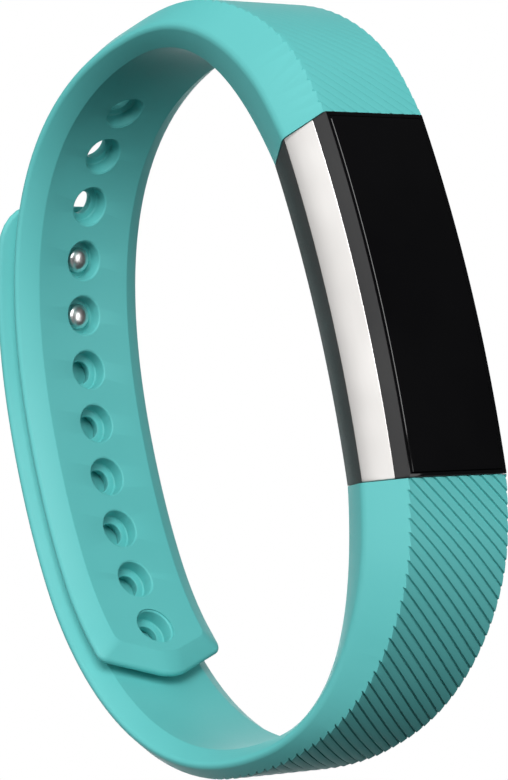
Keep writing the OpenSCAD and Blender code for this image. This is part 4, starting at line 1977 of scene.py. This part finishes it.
@dataclass(frozen=True)
class Lamp:
    """A square soft light aimed at the origin from a metre away.

    Attributes:
        name: Its name.
        azimuth: Where it stands round the object, in degrees.
        elevation: How high it stands, in degrees.
        size: The side of its square, in metres.
        power: Its power in watts.
    """

    name: str
    azimuth: float
    elevation: float
    size: float
    power: float

    def add(self) -> None:
        """Add the light, unseen by the camera itself."""
        back = towards(math.radians(self.azimuth), math.radians(self.elevation))
        data = bpy.data.lights.new(self.name, "AREA")
        data.size = self.size
        data.energy = self.power
        light = bpy.data.objects.new(self.name, data)
        light.visible_camera = False
        light.location = back
        light.rotation_mode = "QUATERNION"
        light.rotation_quaternion = back.to_track_quat("Z", "Y")
        bpy.context.collection.objects.link(light)


@dataclass
class Studio:
    """Camera, floor and lights. Lengths are in metres and angles in degrees."""

    azimuth: float = 49.74
    elevation: float = -13.55
    roll: float = -12.5
    distance: float = 0.366
    aim: Vec3 = (0.0053, -0.0010, -0.0007)
    lens: float = 171.7
    floor_gap: float = 0.0004
    floor_size: float = 6.0
    floor_grey: float = 0.20
    floor_glow: float = 0.80
    world_light: float = 0.035
    lamps: tuple[Lamp, ...] = (
        Lamp("key", 52, 18, 0.55, 8.3), Lamp("side", 0, 12, 0.8, 3.9),
        Lamp("front", 102, -14, 0.5, 2.6), Lamp("top", 20, 65, 0.7, 1.3),
        Lamp("under", 40, -50, 0.8, 0.4), Lamp("rear", 225, 22, 0.9, 5.0),
        Lamp("rear_low", 250, -5, 0.7, 2.5),
    )

    def camera(self) -> None:
        """Set the camera by its angles round the aim."""
        a, e, r = (math.radians(x) for x in (self.azimuth, self.elevation, self.roll))
        back = towards(a, e)
        level = Vector((math.cos(a), math.sin(a), 0))
        upright = back.cross(level)
        right = level * math.cos(r) + upright * math.sin(r)
        up = back.cross(right)
        data = bpy.data.cameras.new("camera")
        data.lens = self.lens
        data.clip_start = 0.01
        data.clip_end = 20
        camera = bpy.data.objects.new("camera", data)
        turn = Matrix((right, up, back)).transposed().to_4x4()
        camera.matrix_world = Matrix.Translation(Vector(self.aim) + back * self.distance) @ turn
        bpy.context.collection.objects.link(camera)
        bpy.context.scene.camera = camera

    def floor(self) -> None:
        """Lay a plain pale floor, clear from below, that throws no light back up into the band."""
        deselect()
        height = CAD_BOX[0].z - self.floor_gap
        bpy.ops.mesh.primitive_plane_add(size=self.floor_size, location=(0, 0, height))
        floor = bpy.context.active_object
        floor.name = "floor"
        material = bpy.data.materials.new("floor")
        material.use_nodes = True
        wire = Wiring(material.node_tree)
        shader = fill(found(material.node_tree, "BSDF_PRINCIPLED"), {
            "Base Color": (self.floor_grey, self.floor_grey, self.floor_grey, 1),
            "Roughness": 0.7, "Specular IOR Level": 0.0,
            "Emission Color": (1, 1, 1, 1), "Emission Strength": self.floor_glow,
        })
        clear = wire.node("ShaderNodeBsdfTransparent")
        seen = wire.node("ShaderNodeMath", operation="SUBTRACT", use_clamp=True)
        wire.link(wire.node("ShaderNodeLightPath").outputs["Is Camera Ray"], seen.inputs[0])
        wire.link(wire.node("ShaderNodeNewGeometry").outputs["Backfacing"], seen.inputs[1])
        out = found(material.node_tree, "OUTPUT_MATERIAL")
        self.blend(wire, seen.outputs["Value"], (clear, shader), out)
        floor.data.materials.append(material)

    @staticmethod
    def blend(wire: Wiring, share: bpy.types.NodeSocket, pair: tuple[bpy.types.Node, ...],
              out: bpy.types.Node) -> None:
        """Blend two shaders into the surface.

        Args:
            wire: The node tree's wiring.
            share: The output that says how much of the second there is.
            pair: The two shaders.
            out: The output node.
        """
        node = wire.node("ShaderNodeMixShader")
        wire.link(share, node.inputs["Fac"])
        for i, shader in enumerate(pair, 1):
            wire.link(shader.outputs[0], node.inputs[i])
        wire.link(node.outputs["Shader"], out.inputs["Surface"])

    def world(self) -> None:
        """Set a white backdrop that lights the object only softly."""
        world = bpy.data.worlds.new("studio")
        world.use_nodes = True
        bpy.context.scene.world = world
        wire = Wiring(world.node_tree)
        white = {"Color": (1, 1, 1, 1)}
        soft = fill(found(world.node_tree, "BACKGROUND"), {**white, "Strength": self.world_light})
        seen = fill(wire.node("ShaderNodeBackground"), {**white, "Strength": 1.0})
        camera = wire.node("ShaderNodeLightPath").outputs["Is Camera Ray"]
        self.blend(wire, camera, (soft, seen), found(world.node_tree, "OUTPUT_WORLD"))

    def build(self) -> None:
        """Build the whole studio."""
        bpy.context.scene.view_settings.view_transform = "Standard"
        self.camera()
        self.floor()
        self.world()
        for lamp in self.lamps:
            lamp.add()


def main() -> None:
    """Build the studio and every piece, in order."""
    logging.basicConfig(level=logging.INFO, format="%(name)s: %(message)s")
    Studio().build()
    loop = Loop()
    section = Section()
    clasp = Clasp()
    ribs = Ribs()
    pieces = Tracker(loop, section).build()
    pieces.append(HoledStrap(loop, section, clasp, ribs).build())
    pieces.append(PegStrap(loop, section, clasp, ribs).build())
    parts = ClaspParts(loop, section, clasp)
    pieces += [parts.plate(), parts.pegs()]
    release = Release(loop)
    for side in Side:
        pieces += [release.button(side), release.spring(side)]
    Works().dress()
    for line in [o for o in bpy.data.objects if o.type == "CURVE"]:
        bpy.data.objects.remove(line, do_unlink=True)
    for piece in pieces:
        LOG.info("%s: %d faces", piece.name, len(piece.data.polygons))


if __name__ == "__main__":
    main()
